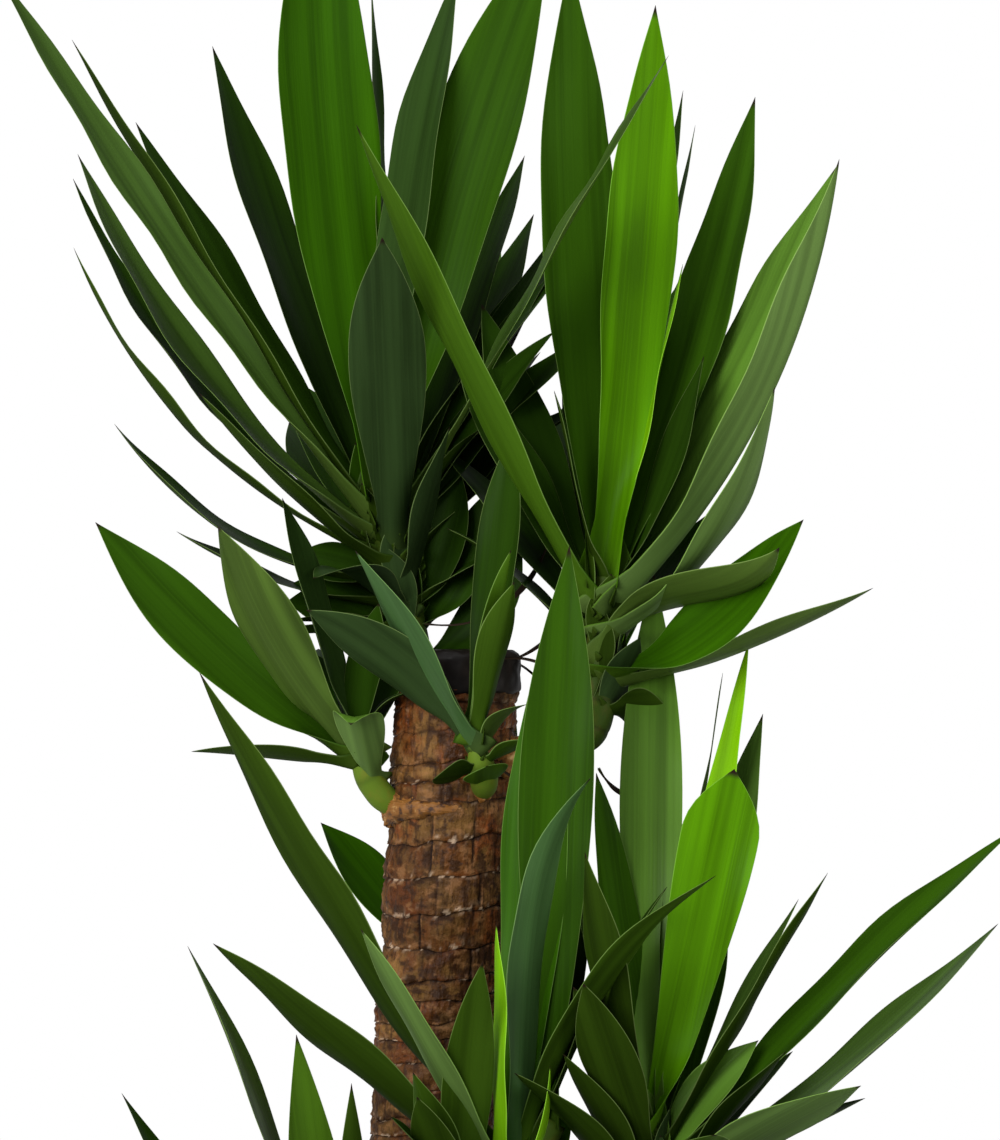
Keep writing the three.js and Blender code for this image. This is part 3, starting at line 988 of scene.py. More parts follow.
    @staticmethod
    def blade_faces(top: Array, share: Array) -> tuple[Array, Array, Array]:
        """Faces of a closed blade with the side that each belongs to and its strip of the bake map.

        Args:
            top: Numbers of the upper points, by station and place across.
            share: Share along the blade of each station.

        Returns:
            Faces, sides and, for each corner, the place in a column of the bake map.
        """
        under = top + top.size
        width = top.shape[1]
        quads = [
            (top[:-1, :-1], top[1:, :-1], top[1:, 1:], top[:-1, 1:]),
            (under[:-1, :-1], under[:-1, 1:], under[1:, 1:], under[1:, :-1]),
            (top[:-1, 0], under[:-1, 0], under[1:, 0], top[1:, 0]),
            (top[:-1, -1], top[1:, -1], under[1:, -1], under[:-1, -1]),
            (top[0, :-1], top[0, 1:], under[0, 1:], under[0, :-1]),
            (top[-1, :-1], under[-1, :-1], under[-1, 1:], top[-1, 1:]),
        ]
        sides = np.concatenate([np.full(row[0].size, int(place == 1)) for place, row in enumerate(quads)])
        faces = np.vstack([np.stack([corner.ravel() for corner in row], 1) for row in quads])
        strip = np.concatenate([np.linspace(0.03, 0.47, width), np.linspace(0.94, 0.50, width)])
        column = strip[(faces // top.size) * width + faces % width]
        left_rim = quads[0][0].size + quads[1][0].size
        left = slice(left_rim, left_rim + quads[2][0].size)
        column[left, 0] = column[left, 3] = 0.97
        height = mix(0.01, 0.99, share[(faces % top.size) // width])
        return faces, sides, np.stack([column, height], -1)

    def build_leaves(self, palette: dict[Tint, list[bpy.types.Material]]) -> None:
        """Join all blades of the head to one piece, coloured leaf by leaf."""
        leaves = self.grown + self.inner_leaves() + self.bracts()
        tints = sorted({leaf.tint for leaf in leaves}, key=lambda tint: tint.value)
        keys = ("points", "faces", "slots", "metric", "bake", "along", "rim")
        kept: dict[str, list[Array]] = {key: [] for key in keys}
        start = 0
        for place, leaf in enumerate(leaves):
            made = self.blade(leaf, np.random.default_rng((self.seed, place)))
            made["slots"] = 2 * tints.index(leaf.tint) + made["sides"]
            made["faces"] = made["faces"] + start
            made["bake"] = (made["bake"] + (place, 0.0)) / (len(leaves), 1.0)
            start += len(made["points"])
            for key, rows in kept.items():
                rows.append(made[key])
        arrays = {key: np.concatenate(rows) for key, rows in kept.items()}
        piece = joined_mesh(f"leaves_{self.name}", arrays["points"], arrays["faces"], arrays["slots"])
        write_values(piece.data, ALONG, arrays["along"])
        write_values(piece.data, RIM, arrays["rim"])
        corners = {LEAF_MAP: arrays["metric"][arrays["faces"]], BAKE_MAP: arrays["bake"]}
        for key, places in corners.items():
            layer = piece.data.uv_layers.new(name=key)
            layer.uv.foreach_set("vector", places.astype(np.float32).ravel())
        for tint in tints:
            for skin in palette[tint]:
                piece.data.materials.append(skin)
        hand_over(piece, "leaf", self.name)

    def stem_line(self, share: Array) -> Array:
        """Points of the stem's middle line at shares of its length, on a smooth curve."""
        knots = np.array(self.stem) * MM
        knots = np.vstack([2 * knots[0] - knots[1], knots, 2 * knots[-1] - knots[-2]])
        place = np.clip(share, 0.0, 1.0) * 3
        first = np.minimum(place.astype(int), 2)
        part = (place - first)[:, None]
        a, b, c, d = (knots[first + step] for step in range(4))
        bend = (2 * a - 5 * b + 4 * c - d) * part**2 + (3 * b - a - 3 * c + d) * part**3
        return 0.5 * (2 * b + (c - a) * part + bend)

    def build_stem(self, bark: bpy.types.Material) -> None:
        """Ringed young stem from the cane to the heart of the head."""
        values: dict[str, Array] = {}
        shape = YOUNG_STEM if self.young else OLD_STEM

        def place(turn: Array, rise: Array) -> Array:
            """Points of the stem, with a small step at each leaf scar."""
            middle = self.stem_line(rise)
            along = unit(self.stem_line(rise + shape.probe) - self.stem_line(rise - shape.probe))
            across = unit(np.cross(NORTH, along))
            other = np.cross(along, across)
            scar = hump((rise * shape.rings) % 1 - 0.5, shape.scar_width)
            end = mix(1.0, shape.top, rise**3)
            if self.young:
                end = np.sqrt(np.clip(shape.round_top * (1 - rise), shape.least, 1.0))
            slim = mix(*shape.slim, smooth(rise / shape.slim_reach)) * end
            radius = self.radius * MM * slim * (shape.plain - shape.scar * scar)
            angle = 2 * math.pi * turn
            values[ALONG] = rise
            values["scar"] = scar
            ring = across * np.cos(angle)[:, None] + other * np.sin(angle)[:, None]
            return middle + ring * radius[:, None]

        piece = wrapped_grid(f"stem_{self.name}", shape.around, shape.along, place, values)
        piece.data.materials.append(bark)
        hand_over(piece, "leaf")

    def build_callus(self, cane: Cane, finish: bpy.types.Material) -> None:
        """Corky swelling where the stem leaves its cane."""
        line = self.stem_line(np.linspace(0.0, 0.6, 61))
        share = cane.share_at(line[:, 2])
        apart = np.hypot(*(line - cane.middle(share))[:, :2].T)
        seat = line[np.argmax(apart > cane.radius(share))]
        axis = cane.middle(cane.share_at(seat[2:])).ravel()
        outward = unit((seat - axis) * (1.0, 1.0, 0.0))
        piece = new_primitive(
            f"callus_{self.name}", bpy.ops.mesh.primitive_ico_sphere_add, subdivisions=5, radius=1.0
        )
        ball = points_of(piece.data)
        reach = self.radius * MM
        drawn = np.clip(ball[:, 1], 0.0, 1.0) * (self.ledge > 0)
        shaped = ball * np.array(CALLUS.size) * reach * self.callus
        shaped[:, 0] *= 1 - CALLUS.thinner * drawn
        shaped[:, 1] += self.ledge * MM * drawn
        shaped[:, 2] *= 1 - CALLUS.lower * drawn**0.5
        rng = np.random.default_rng(self.seed + CALLUS.seed_step)
        lumps = 1.0
        for height, length in CALLUS.lumps:
            lumps = lumps + height * grain(rng, shaped, length * reach)
        radius = cane.radius(cane.share_at(seat[2:]))[0]
        turn = shaped[:, 1] / radius
        round_cane = np.outer(np.cos(turn), outward) + np.outer(np.sin(turn), np.cross(UP, outward))
        proud = round_cane * (radius + shaped[:, 0] * lumps - CALLUS.sunk * reach)[:, None]
        risen = np.outer(shaped[:, 2] * lumps - CALLUS.drop * reach, UP)
        move_points(piece.data, axis + proud + risen)
        bpy.ops.object.shade_smooth()
        piece.data.materials.append(finish)
        hand_over(piece, "bark")


@dataclass(frozen=True)
class BarkRelief:
    """Relief of the bark in metres: rings of old leaf scars, with a broken lip, a groove and cracked plates.

    The rows of the mesh follow the rings, so each lip and groove has rows of its own, and the cracks run
    along its columns.
    """

    seed: int
    gap: tuple[float, float] = (0.0085, 0.0225)
    tilt: float = 0.0042
    wander: float = 0.0012
    lip: float = 0.0006
    groove: float = 0.0008
    crack: float = 0.0010
    bulge: float = 0.0010
    rough: float = 0.0005
    plate: float = 0.010
    cracks: tuple[int, int] = (6, 11)
    kept: float = 0.4
    rust_length: float = 0.24
    rust_low: float = 0.5
    fresh_length: float = 0.075
    fresh_rust: float = 0.8
    crest_reach: float = 0.075
    groove_at: float = 0.97
    groove_reach: float = 0.045
    split_ease: float = 4.0
    stain_reach: float = 0.12
    crack_stain: float = 0.002
    grains: tuple[tuple[float, float], ...] = ((1.0, 0.006), (0.6, 0.0028))
    buckle: float = 0.0008
    buckle_length: float = 0.04
    grain_seed_step: int = 7
    wax_seed_step: int = 90
    rows: tuple[float, ...] = (0.0, 0.07, 0.16, 0.32, 0.50, 0.68, 0.83, 0.92, 0.97)
    chipped: tuple[float, ...] = (1.0, 0.5, 0.1, 0.0, 0.0, 0.0, 0.0, 0.2, 0.8)

    def rings(self, rng: np.random.Generator, angle: Array, low: float, high: float) -> list[Array]:
        """Heights of the lips at each angle, from below the low end to above the high end."""
        heights = []
        level = low - self.gap[1]
        phase = rng.uniform(0, 2 * math.pi)
        while level < high + 2 * self.gap[1]:
            slope = self.tilt * rng.uniform(0.5, 1.0) * np.sin(angle + phase)
            heights.append(level + slope + self.wander * waves(rng, angle, 2, 12))
            level += rng.uniform(*self.gap)
            phase += rng.uniform(-0.9, 0.9)
        return heights

    def crack_columns(self, rng: np.random.Generator, around: int, before: Array) -> Array:
        """Columns of the cracks in one ring, some of them carried on from the ring below."""
        count = int(rng.integers(*self.cracks))
        places = (np.arange(count) + rng.uniform(-0.34, 0.34, count) + rng.uniform()) * around / count
        columns = places.astype(int) % around
        if len(before):
            nearest = before[np.argmin(np.abs(columns[:, None] - before[None]), axis=1)]
            columns = np.where(rng.uniform(size=count) < self.kept, nearest, columns)
        return np.unique(columns)

    def read(self, around: int, radius: float, low: float, high: float) -> dict[str, Array]:
        """Relief and colours of the bark, by row and column of its mesh.

        Args:
            around: Columns of the mesh.
            radius: Mean radius of the cane, in metres.
            low: Height of the lower end, in metres.
            high: Height of the upper end, in metres.

        Returns:
            The height, the offset outwards and the values that the bark's material reads.
        """
        rng = np.random.default_rng(self.seed)
        angle = np.linspace(0, 2 * math.pi, around, endpoint=False)
        rings = self.rings(rng, angle, low, high)
        share = np.array(self.rows)[:, None]
        keys = ("height", "offset", "crack", "fleck", "tone", "highlight_share", "lip", "rust")
        found: dict[str, list[Array]] = {key: [] for key in keys}
        columns = np.array([], int)
        for under, over in zip(rings, rings[1:]):
            columns = self.crack_columns(rng, around, columns)
            away = np.abs(np.arange(around)[:, None] - columns[None])
            away = np.minimum(away, around - away).min(axis=1) * 2 * math.pi * radius / around
            plate = np.searchsorted(columns, np.arange(around)) % len(columns)
            opened = np.zeros(around)
            opened[columns] = rng.uniform(0.3, 1.0, len(columns))
            reach = rng.uniform(0.5, 1.6, len(columns))[plate]
            from_top = rng.uniform(size=len(columns))[plate] < 0.5
            inside = np.where(from_top, 1 - share, share)
            run = smooth((reach - inside) * self.split_ease)
            split = opened * run
            worn = np.clip(0.75 + 0.5 * waves(rng, angle, 4, 30), 0.1, 1.5)
            crest = worn * np.exp(-share / self.crest_reach)
            sunk = np.exp(-np.abs(share - self.groove_at) / self.groove_reach)
            groove = np.clip(1.3 - 0.5 * worn, 0.3, 1.0) * sunk
            pillow = 4 * share * (1 - share) * np.sqrt(np.clip(away / self.plate, 0.0, 1.0))
            clusters = 0.8 * waves(rng, angle, 1, 5)
            chips = np.stack([smooth((waves(rng, angle, 6, 40) + clusters - 0.7) / 0.3) for _ in self.rows])
            chips = chips * np.array(self.chipped)[:, None]
            beside = np.roll(opened, 1) * (rng.uniform(size=around) < 0.4)
            stained = rng.uniform(0.0, 1.0, len(columns))[plate] ** 2
            ends = np.exp(-share / self.stain_reach) + np.exp(-(1 - share) / self.stain_reach)
            edges = ends + np.exp(-away / self.crack_stain)
            rusty = stained + 0.7 * edges * np.clip(0.5 + waves(rng, angle, 2, 9), 0.0, 1.0)
            found["height"].append(mix(under, over, share))
            found["offset"].append(
                self.lip * crest - self.groove * groove - self.crack * split + self.bulge * pillow
            )
            # The crack value also covers the groove under each lip: painted shade where the lip overhangs
            found["crack"].append(np.clip(split + 0.8 * groove, 0.0, 1.0))
            found["fleck"].append(chips)
            found["tone"].append(rng.uniform(0.0, 1.0, len(columns))[plate] + 0 * share)
            # Share of the painted highlight on each plate, strongest in its middle
            found["highlight_share"].append(pillow * rng.uniform(0.1, 1.0, len(columns))[plate])
            # Tan line along each lip crest: partly its own lighter colour, partly painted highlight
            line = np.clip(crest, 0.0, 1.0) * np.clip(0.3 + waves(rng, angle, 3, 20), 0.0, 1.0)
            found["lip"].append(np.maximum(line, beside * run))
            found["rust"].append(np.clip(rusty, 0.0, 1.0))
        whole = {key: np.vstack(rows) for key, rows in found.items()}
        kept = (whole["height"].max(axis=1) > low) & (whole["height"].min(axis=1) < high)
        whole = {key: rows[kept] for key, rows in whole.items()}
        whole["height"] = np.clip(whole["height"], low, high)
        top = smooth((whole["height"] - (high - self.rust_length)) / self.rust_length)
        whole["rust"] = whole["rust"] * mix(self.rust_low, 1.0, top)
        fresh = smooth((whole["height"] - (high - self.fresh_length)) / self.fresh_length)
        whole["rust"] = np.maximum(whole["rust"], self.fresh_rust * fresh)
        for key, kept_share in (("fleck", 0.2), ("crack", 0.45), ("lip", 0.5)):
            whole[key] = whole[key] * mix(1.0, kept_share, fresh)
        return whole


@dataclass(frozen=True)
class Seal:
    """Wax on a cane's cut end, in millimetres."""

    height: float = 23.0
    proud: float = 1.0
    round: float = 5.0
    hem_drop: float = 1.6
    hem: tuple[tuple[float, float], ...] = ((1.6, 0.0), (0.2, 0.8), (0.0, 2.0))
    wall: float = 6.0
    dish: float = 0.6
    dish_shares: tuple[float, ...] = (0.7, 0.45, 0.2, 0.0)
    lump: float = 0.35
    lump_length: float = 9.0
    lap: float = 2.0
    around: int = 96
    along: int = 60


@dataclass(frozen=True)
class Cane:
    """One sawn cane, from the soil to its waxed cut, in millimetres."""

    name: str
    foot: Point
    top: Point
    foot_radius: float
    top_radius: float
    flare: float
    bend: float
    relief: BarkRelief
    around: int = 180
    flare_fade: float = 40.0
    sunk: float = 6.0
    seal: Seal = Seal()

    @property
    def length(self) -> float:
        """Height from the soil to the cut."""
        return self.top[2] - self.foot[2]

    def share_at(self, height: Array) -> Array:
        """Share of the cane's height, from heights in metres."""
        return (height / MM - self.foot[2]) / self.length

    def middle(self, share: Array) -> Array:
        """Points of the middle line, in metres."""
        held = np.clip(share, -0.1, 1.0)
        line = mix(np.array(self.foot), np.array(self.top), held[:, None])
        return (line + np.outer(self.bend * np.sin(math.pi * held), EAST)) * MM

    def radius(self, share: Array) -> Array:
        """Radius at shares of the height, in metres."""
        flare = self.flare * np.exp(-np.clip(share, 0.0, 1.0) * self.length / self.flare_fade)
        return (mix(self.foot_radius, self.top_radius, share) + flare) * MM

    def build(self, finish: bpy.types.Material) -> None:
        """Bark with its relief as a mesh."""
        values: dict[str, Array] = {}
        low = -self.sunk * MM
        high = (self.length - self.seal.height + self.seal.lap) * MM
        middle_radius = 0.5 * (self.foot_radius + self.top_radius) * MM
        found = self.relief.read(self.around, middle_radius, low, high)
        along = len(found["height"]) - 1

        def place(turn: Array, rise: Array) -> Array:
            """Points of the bark."""
            row, column = np.rint(rise * along).astype(int), np.rint(turn * self.around).astype(int)
            here = {key: rows[row, column % self.around] for key, rows in found.items()}
            share = here["height"] / MM / self.length
            angle = 2 * math.pi * turn
            round_cane = np.stack([np.cos(angle), np.sin(angle), np.zeros_like(angle)], 1)
            points = self.middle(share) + round_cane * self.radius(share)[:, None]
            relief = self.relief
            rng = np.random.default_rng(relief.seed + relief.grain_seed_step)
            lumps = relief.rough * sum(part * grain(rng, points, length) for part, length in relief.grains)
            lumps = lumps + relief.buckle * grain(rng, points, relief.buckle_length)
            values.update({key: row for key, row in here.items() if key not in ("offset", "height")})
            return points + round_cane * (here["offset"] + lumps)[:, None]

        piece = wrapped_grid(f"bark_{self.name}", self.around, along, place, values)
        piece.data.materials.append(finish)
        hand_over(piece, "bark", f"cane_{self.name}")

    def build_seal(self, finish: bpy.types.Material) -> None:
        """Wax cap with a rounded shoulder and an uneven hem."""
        seal = self.seal
        outer = self.top_radius + seal.proud
        profile = np.array(
            [(outer - inset, rise - seal.height) for inset, rise in seal.hem]
            + [(outer, -seal.round - seal.wall), (outer, -seal.round)]
            + [
                (outer - seal.round * (1 - math.cos(turn)), seal.round * (math.sin(turn) - 1))
                for turn in np.linspace(0.2, math.pi / 2, 6)
            ]
            + [(outer * share, -seal.dish * (1 - share)) for share in seal.dish_shares]
        )
        steps = np.append(0.0, np.cumsum(np.hypot(*np.diff(profile, axis=0).T)))
        rng = np.random.default_rng(self.relief.seed + self.relief.wax_seed_step)

        def place(turn: Array, rise: Array) -> Array:
            """Points of the wax, lumpy and with a wavy hem."""
            at = rise * steps[-1]
            reach, drop = np.interp(at, steps, profile[:, 0]), np.interp(at, steps, profile[:, 1])
            angle = 2 * math.pi * turn
            hem = smooth(-(drop + 0.5 * seal.height) / (0.5 * seal.height))
            drop = drop - seal.hem_drop * hem * (0.6 + 0.6 * waves(rng, angle, 2, 9))
            ring = np.stack([np.cos(angle), np.sin(angle), np.zeros_like(angle)], 1)
            points = ring * reach[:, None] + np.outer(drop, UP)
            lumps = seal.lump * grain(np.random.default_rng(self.relief.seed), points, seal.lump_length)
            edge = smooth(reach / (0.3 * outer))
            return (np.array(self.top) + points + (ring + UP) * (lumps * edge)[:, None] * 0.8) * MM

        piece = wrapped_grid(f"wax_{self.name}", seal.around, seal.along, place)
        piece.data.materials.append(finish)
        hand_over(piece, "wax", f"seal_{self.name}")


@dataclass(frozen=True)
class Pot:
    """Round clay pot, turned on a wheel, in millimetres."""

    height: float = 245.0
    foot: float = 100.0
    mouth: float = 132.0
    wall: float = 6.0
    floor: float = 8.0
    rim: float = 30.0
    lip: float = 5.0
    edge: float = 3.0
    outer_edge: float = 4.0
    tuck: float = 0.6
    bead: float = 5.0
    foot_edge: tuple[tuple[float, float], ...] = ((2.5, 0.0), (0.7, 0.7), (0.0, 2.5))
    rim_edge: tuple[tuple[float, float], ...] = ((2.4, 1.2), (0.6, 3.2), (0.3, 7.0), (0.9, 9.0), (0.3, 11.0))
    sides: int = 128
    turning_lines: int = 26
    line_depth: float = 0.22

    def outside(self, height: float) -> float:
        """Radius of the outer wall below the rim."""
        return mix(self.foot, self.mouth - self.lip, height / (self.height - self.rim))

    def inside(self, height: float) -> float:
        """Radius of the inner wall."""
        share = (height - self.floor) / (self.height - self.edge - self.floor)
        return mix(self.outside(self.floor), self.mouth - self.lip, share) - self.wall

    def outline(self) -> list[tuple[float, float]]:
        """Radius and height from the foot, over the rim, to the inner floor."""
        rim_foot = self.height - self.rim
        points = [(self.foot - inset, rise) for inset, rise in self.foot_edge]
        for line in range(1, self.turning_lines):
            height = mix(self.foot_edge[-1][1], rim_foot, line / self.turning_lines)
            points.append((self.outside(height) - self.line_depth * (line % 2), height))
        points.append((self.outside(rim_foot) - self.tuck, rim_foot))
        points += [(self.mouth - inset, rim_foot + rise) for inset, rise in self.rim_edge]
        points.append((self.mouth, self.height - self.bead))
        for turn in np.linspace(0.0, math.pi / 2, 5)[1:]:
            inset = self.outer_edge * (1 - math.cos(turn))
            drop = self.outer_edge * (1 - math.sin(turn))
            points.append((self.mouth - inset, self.height - drop))
        inner = self.inside(self.height - self.edge)
        for turn in np.linspace(math.pi / 2, math.pi, 4)[:-1]:
            inset = self.edge * (1 + math.cos(turn))
            drop = self.edge * (1 - math.sin(turn))
            points.append((inner + inset, self.height - drop))
        points += [(inner, self.height - self.edge), (self.inside(self.floor), self.floor)]
        return points

    def build(self, finish: bpy.types.Material) -> None:
        """Extrude a disc up the outline, ring by ring, then down the inside."""
        outline = [(radius * MM, height * MM) for radius, height in self.outline()]
        piece = new_primitive(
            "pot_clay",
            bpy.ops.mesh.primitive_circle_add,
            vertices=self.sides,
            radius=outline[0][0],
            fill_type="NGON",
        )
        with editing(piece):
            for (inner, low), (outer, high) in zip(outline, outline[1:]):
                bpy.ops.mesh.extrude_region_move(TRANSFORM_OT_translate={"value": (0, 0, high - low)})
                ratio = outer / inner
                bpy.ops.transform.resize(value=(ratio, ratio, 1), center_override=(0, 0, high))
            bpy.ops.mesh.select_all(action="SELECT")
            bpy.ops.mesh.normals_make_consistent(inside=False)
        select_only(piece)
        bpy.ops.object.shade_smooth_by_angle(angle=math.radians(50))
        piece.data.materials.append(finish)
        hand_over(piece, "pot", "pot")


@dataclass(frozen=True)
class Crumb:
    """One kind of crumb on the soil: its share of all, its proportions and its scale."""

    share: float
    shape: Point
    scale: float = 1.0


@dataclass(frozen=True)
class PottingMix:
    """Soil in the pot, with bark chips and grit lying on it, in millimetres."""

    top: float = 222.0
    deep: float = 40.0
    radius: float = 117.6
    cells: int = 150
    skirt: float = 0.95
    lumps: tuple[tuple[float, float], ...] = ((2.0, 0.05), (1.1, 0.014), (0.6, 0.005))
    crumbs: int = 1500
    kinds: tuple[Crumb, ...] = (
        Crumb(0.66, (1.0, 0.8, 0.7)),
        Crumb(0.27, (1.9, 0.9, 0.35), 1.5),
        Crumb(0.07, (0.8, 0.75, 0.7)),
    )
    crumb_size: tuple[float, float] = (1.2, 3.4)
    crumb_rough: float = 0.22
    crumb_lean: float = 0.4
    crumb_seat: float = 0.3
    crumb_reach: float = 0.96
    tuck: float = 1.0
    seed: int = 31

    def height(self, points: Array) -> Array:
        """Height of the soil's surface at x, y in metres."""
        level = np.column_stack([points[:, :2], np.zeros(len(points))])
        rng = np.random.default_rng(self.seed)
        lumps = sum(height * grain(rng, level, length) for height, length in self.lumps)
        return (self.top + lumps) * MM

    def build(self, finish: bpy.types.Material) -> None:
        """Lumpy disc with a skirt down the inside of the pot."""
        piece = new_primitive(
            "soil_bed",
            bpy.ops.mesh.primitive_grid_add,
            x_subdivisions=self.cells,
            y_subdivisions=self.cells,
            size=2.0,
        )
        flat = points_of(piece.data)
        across, along = flat[:, 0], flat[:, 1]
        disc = np.stack(
            [across * np.sqrt(1 - along**2 / 2), along * np.sqrt(1 - across**2 / 2), np.zeros(len(flat))], 1
        )
        disc = disc * self.radius * MM
        disc[:, 2] = self.height(disc)
        move_points(piece.data, disc)
        with editing(piece):
            bpy.ops.mesh.select_all(action="DESELECT")
            bpy.ops.mesh.select_non_manifold()
            bpy.ops.mesh.extrude_edges_move(TRANSFORM_OT_translate={"value": (0, 0, -self.deep * MM)})
            bpy.ops.transform.resize(value=(self.skirt, self.skirt, 1), center_override=(0, 0, 0))
            bpy.ops.mesh.edge_face_add()
            bpy.ops.mesh.select_all(action="SELECT")
            bpy.ops.mesh.normals_make_consistent(inside=False)
        bpy.ops.object.shade_smooth()
        piece.data.materials.append(finish)
        hand_over(piece, "soil", "soil")

    def under_cane(self, spot: Array, cane: Cane) -> bool:
        """Whether a place on the soil, in metres, lies under the foot of a cane."""
        return np.hypot(*(spot / MM - cane.foot[:2])) < cane.foot_radius + cane.flare - self.tuck

    def build_crumbs(self, finishes: list[bpy.types.Material], canes: list[Cane]) -> None:
        """Crumbs, bark chips and grit scattered on the soil, clear of the canes."""
        ball = new_primitive("crumb_start", bpy.ops.mesh.primitive_ico_sphere_add, subdivisions=2, radius=1.0)
        shape = points_of(ball.data)
        corners = np.array([tuple(face.vertices) for face in ball.data.polygons])
        bpy.data.objects.remove(ball)
        rng = np.random.default_rng(self.seed + 1)
        points, faces, slots = [], [], []
        while len(points) < self.crumbs:
            spot = rng.uniform(-1.0, 1.0, 2)
            if np.hypot(*spot) > self.crumb_reach:
                continue
            spot = spot * self.radius * MM
            kind = int(rng.choice(len(self.kinds), p=[crumb.share for crumb in self.kinds]))
            if any(self.under_cane(spot, cane) for cane in canes):
                continue
            crumb = self.kinds[kind]
            size = np.array(crumb.shape) * rng.uniform(*self.crumb_size) * MM * crumb.scale
            turn = rng.uniform(0, 2 * math.pi)
            lean = rng.uniform(-self.crumb_lean, self.crumb_lean)
            rough = rng.uniform(-self.crumb_rough, self.crumb_rough, (len(shape), 1))
            lump = shape * (1 + rough) * size
            lump = lump @ np.array(
                ((math.cos(lean), 0, math.sin(lean)), (0, 1, 0), (-math.sin(lean), 0, math.cos(lean)))
            )
            spun = np.column_stack(
                [
                    lump[:, 0] * math.cos(turn) - lump[:, 1] * math.sin(turn),
                    lump[:, 0] * math.sin(turn) + lump[:, 1] * math.cos(turn),
                    lump[:, 2],
                ]
            )
            level = self.height(np.array([[*spot, 0.0]]))[0]
            faces.append(corners + len(points) * len(shape))
            points.append(spun + (*spot, level + self.crumb_seat * size[2]))
            slots.append(np.full(len(corners), kind))
        piece = joined_mesh("soil_crumbs", *(np.concatenate(rows) for rows in (points, faces, slots)))
        for finish in finishes:
            piece.data.materials.append(finish)
        hand_over(piece, "soil")


@dataclass(frozen=True)
class Lamp:
    """Soft square lamp, in metres and watts."""

    name: str
    place: Point
    aim: Point
    size: float
    power: float
    colour: Colour = (1.0, 1.0, 1.0)

    def build(self) -> None:
        """Hang the lamp and turn it to its aim."""
        bpy.ops.object.light_add(type="AREA", location=self.place)
        lamp = bpy.context.active_object
        lamp.name = self.name
        lamp.data.shape = "SQUARE"
        lamp.data.size = self.size
        lamp.data.energy = self.power
        lamp.data.color = self.colour
        lamp.rotation_euler = (Vector(self.aim) - Vector(self.place)).to_track_quat("-Z", "Y").to_euler()


@dataclass(frozen=True)
class Studio:
    """Camera, lamps, white surround and pale floor."""

    eye: Point = (0.01375, -2.970, 1.089)
    distance: float = 3.0
    frame_width: float = 0.550
    frame_pixels: tuple[int, int] = (1000, 1140)
    sensor: float = 36.0
    floor_radius: float = 3.2
    surround: float = 0.42
    lamps: tuple[Lamp, ...] = (
        Lamp("lamp_key", (-1.8, -2.8, 2.2), (0.0, 0.0, 1.0), 2.0, 118.0),
        Lamp("lamp_fill", (2.4, -2.0, 1.4), (0.0, 0.0, 0.95), 2.2, 26.0),
        Lamp("lamp_top", (0.0, -0.6, 3.3), (0.0, 0.0, 1.0), 1.8, 18.0),
    )

    def build_camera(self) -> None:
        """Level camera that frames what the photograph frames."""
        bpy.ops.object.camera_add(location=self.eye, rotation=(math.pi / 2, 0.0, 0.0))
        camera = bpy.context.active_object
        camera.name = "camera"
        wide, high = self.frame_pixels
        camera.data.sensor_width = self.sensor
        camera.data.lens = self.sensor * self.distance / (self.frame_width * high / wide)
        camera.data.clip_end = 50.0
        bpy.context.scene.camera = camera

    def build_surround(self) -> None:
        """White behind the plant, with softer light from it."""
        world = bpy.data.worlds.new("surround")
        world.use_nodes = True
        bpy.context.scene.world = world
        nodes, links = world.node_tree.nodes, world.node_tree.links
        seen = nodes["Background"]
        seen.inputs["Color"].default_value = (1.0, 1.0, 1.0, 1.0)
        lit = nodes.new("ShaderNodeBackground")
        lit.inputs["Color"].default_value = (0.97, 0.985, 1.0, 1.0)
        lit.inputs["Strength"].default_value = self.surround
        path = nodes.new("ShaderNodeLightPath")
        choice = nodes.new("ShaderNodeMixShader")
        links.new(path.outputs["Is Camera Ray"], choice.inputs["Fac"])
        links.new(lit.outputs["Background"], choice.inputs[1])
        links.new(seen.outputs["Background"], choice.inputs[2])
        links.new(choice.outputs["Shader"], nodes["World Output"].inputs["Surface"])
        bpy.context.scene.view_settings.view_transform = "Standard"

    def build_floor(self) -> None:
        """Round pale floor under the pot."""
        floor = new_primitive(
            "floor",
            bpy.ops.mesh.primitive_circle_add,
            vertices=96,
            radius=self.floor_radius,
            fill_type="NGON",
            location=(0.0, 0.0, -0.0005),
        )
        settle_place(floor)
        floor.data.materials.append(FloorFinish().material())

    def build(self) -> None:
        """Set up the studio."""
        self.build_camera()
        self.build_surround()
        self.build_floor()
        for lamp in self.lamps:
            lamp.build()


CANES = (
    Cane("tall", (-46, 30, 222), (-9, 30, 1045), 39, 33, 6, -1, BarkRelief(seed=11), around=200),
    Cane("middle", (47, -48, 222), (46, -58, 745), 33, 30, 6, -3, BarkRelief(seed=23), around=190),
    Cane("low", (-48, -52, 222), (-24, -54, 575), 30, 28, 5, 2, BarkRelief(seed=37), around=180),
)

# Widths of fill leaves from the first to the last of a row, in millimetres
BACK_WIDTH = (48, 38)
SIDE_WIDTH = (46, 38)
LOW_WIDTH = (46, 36)

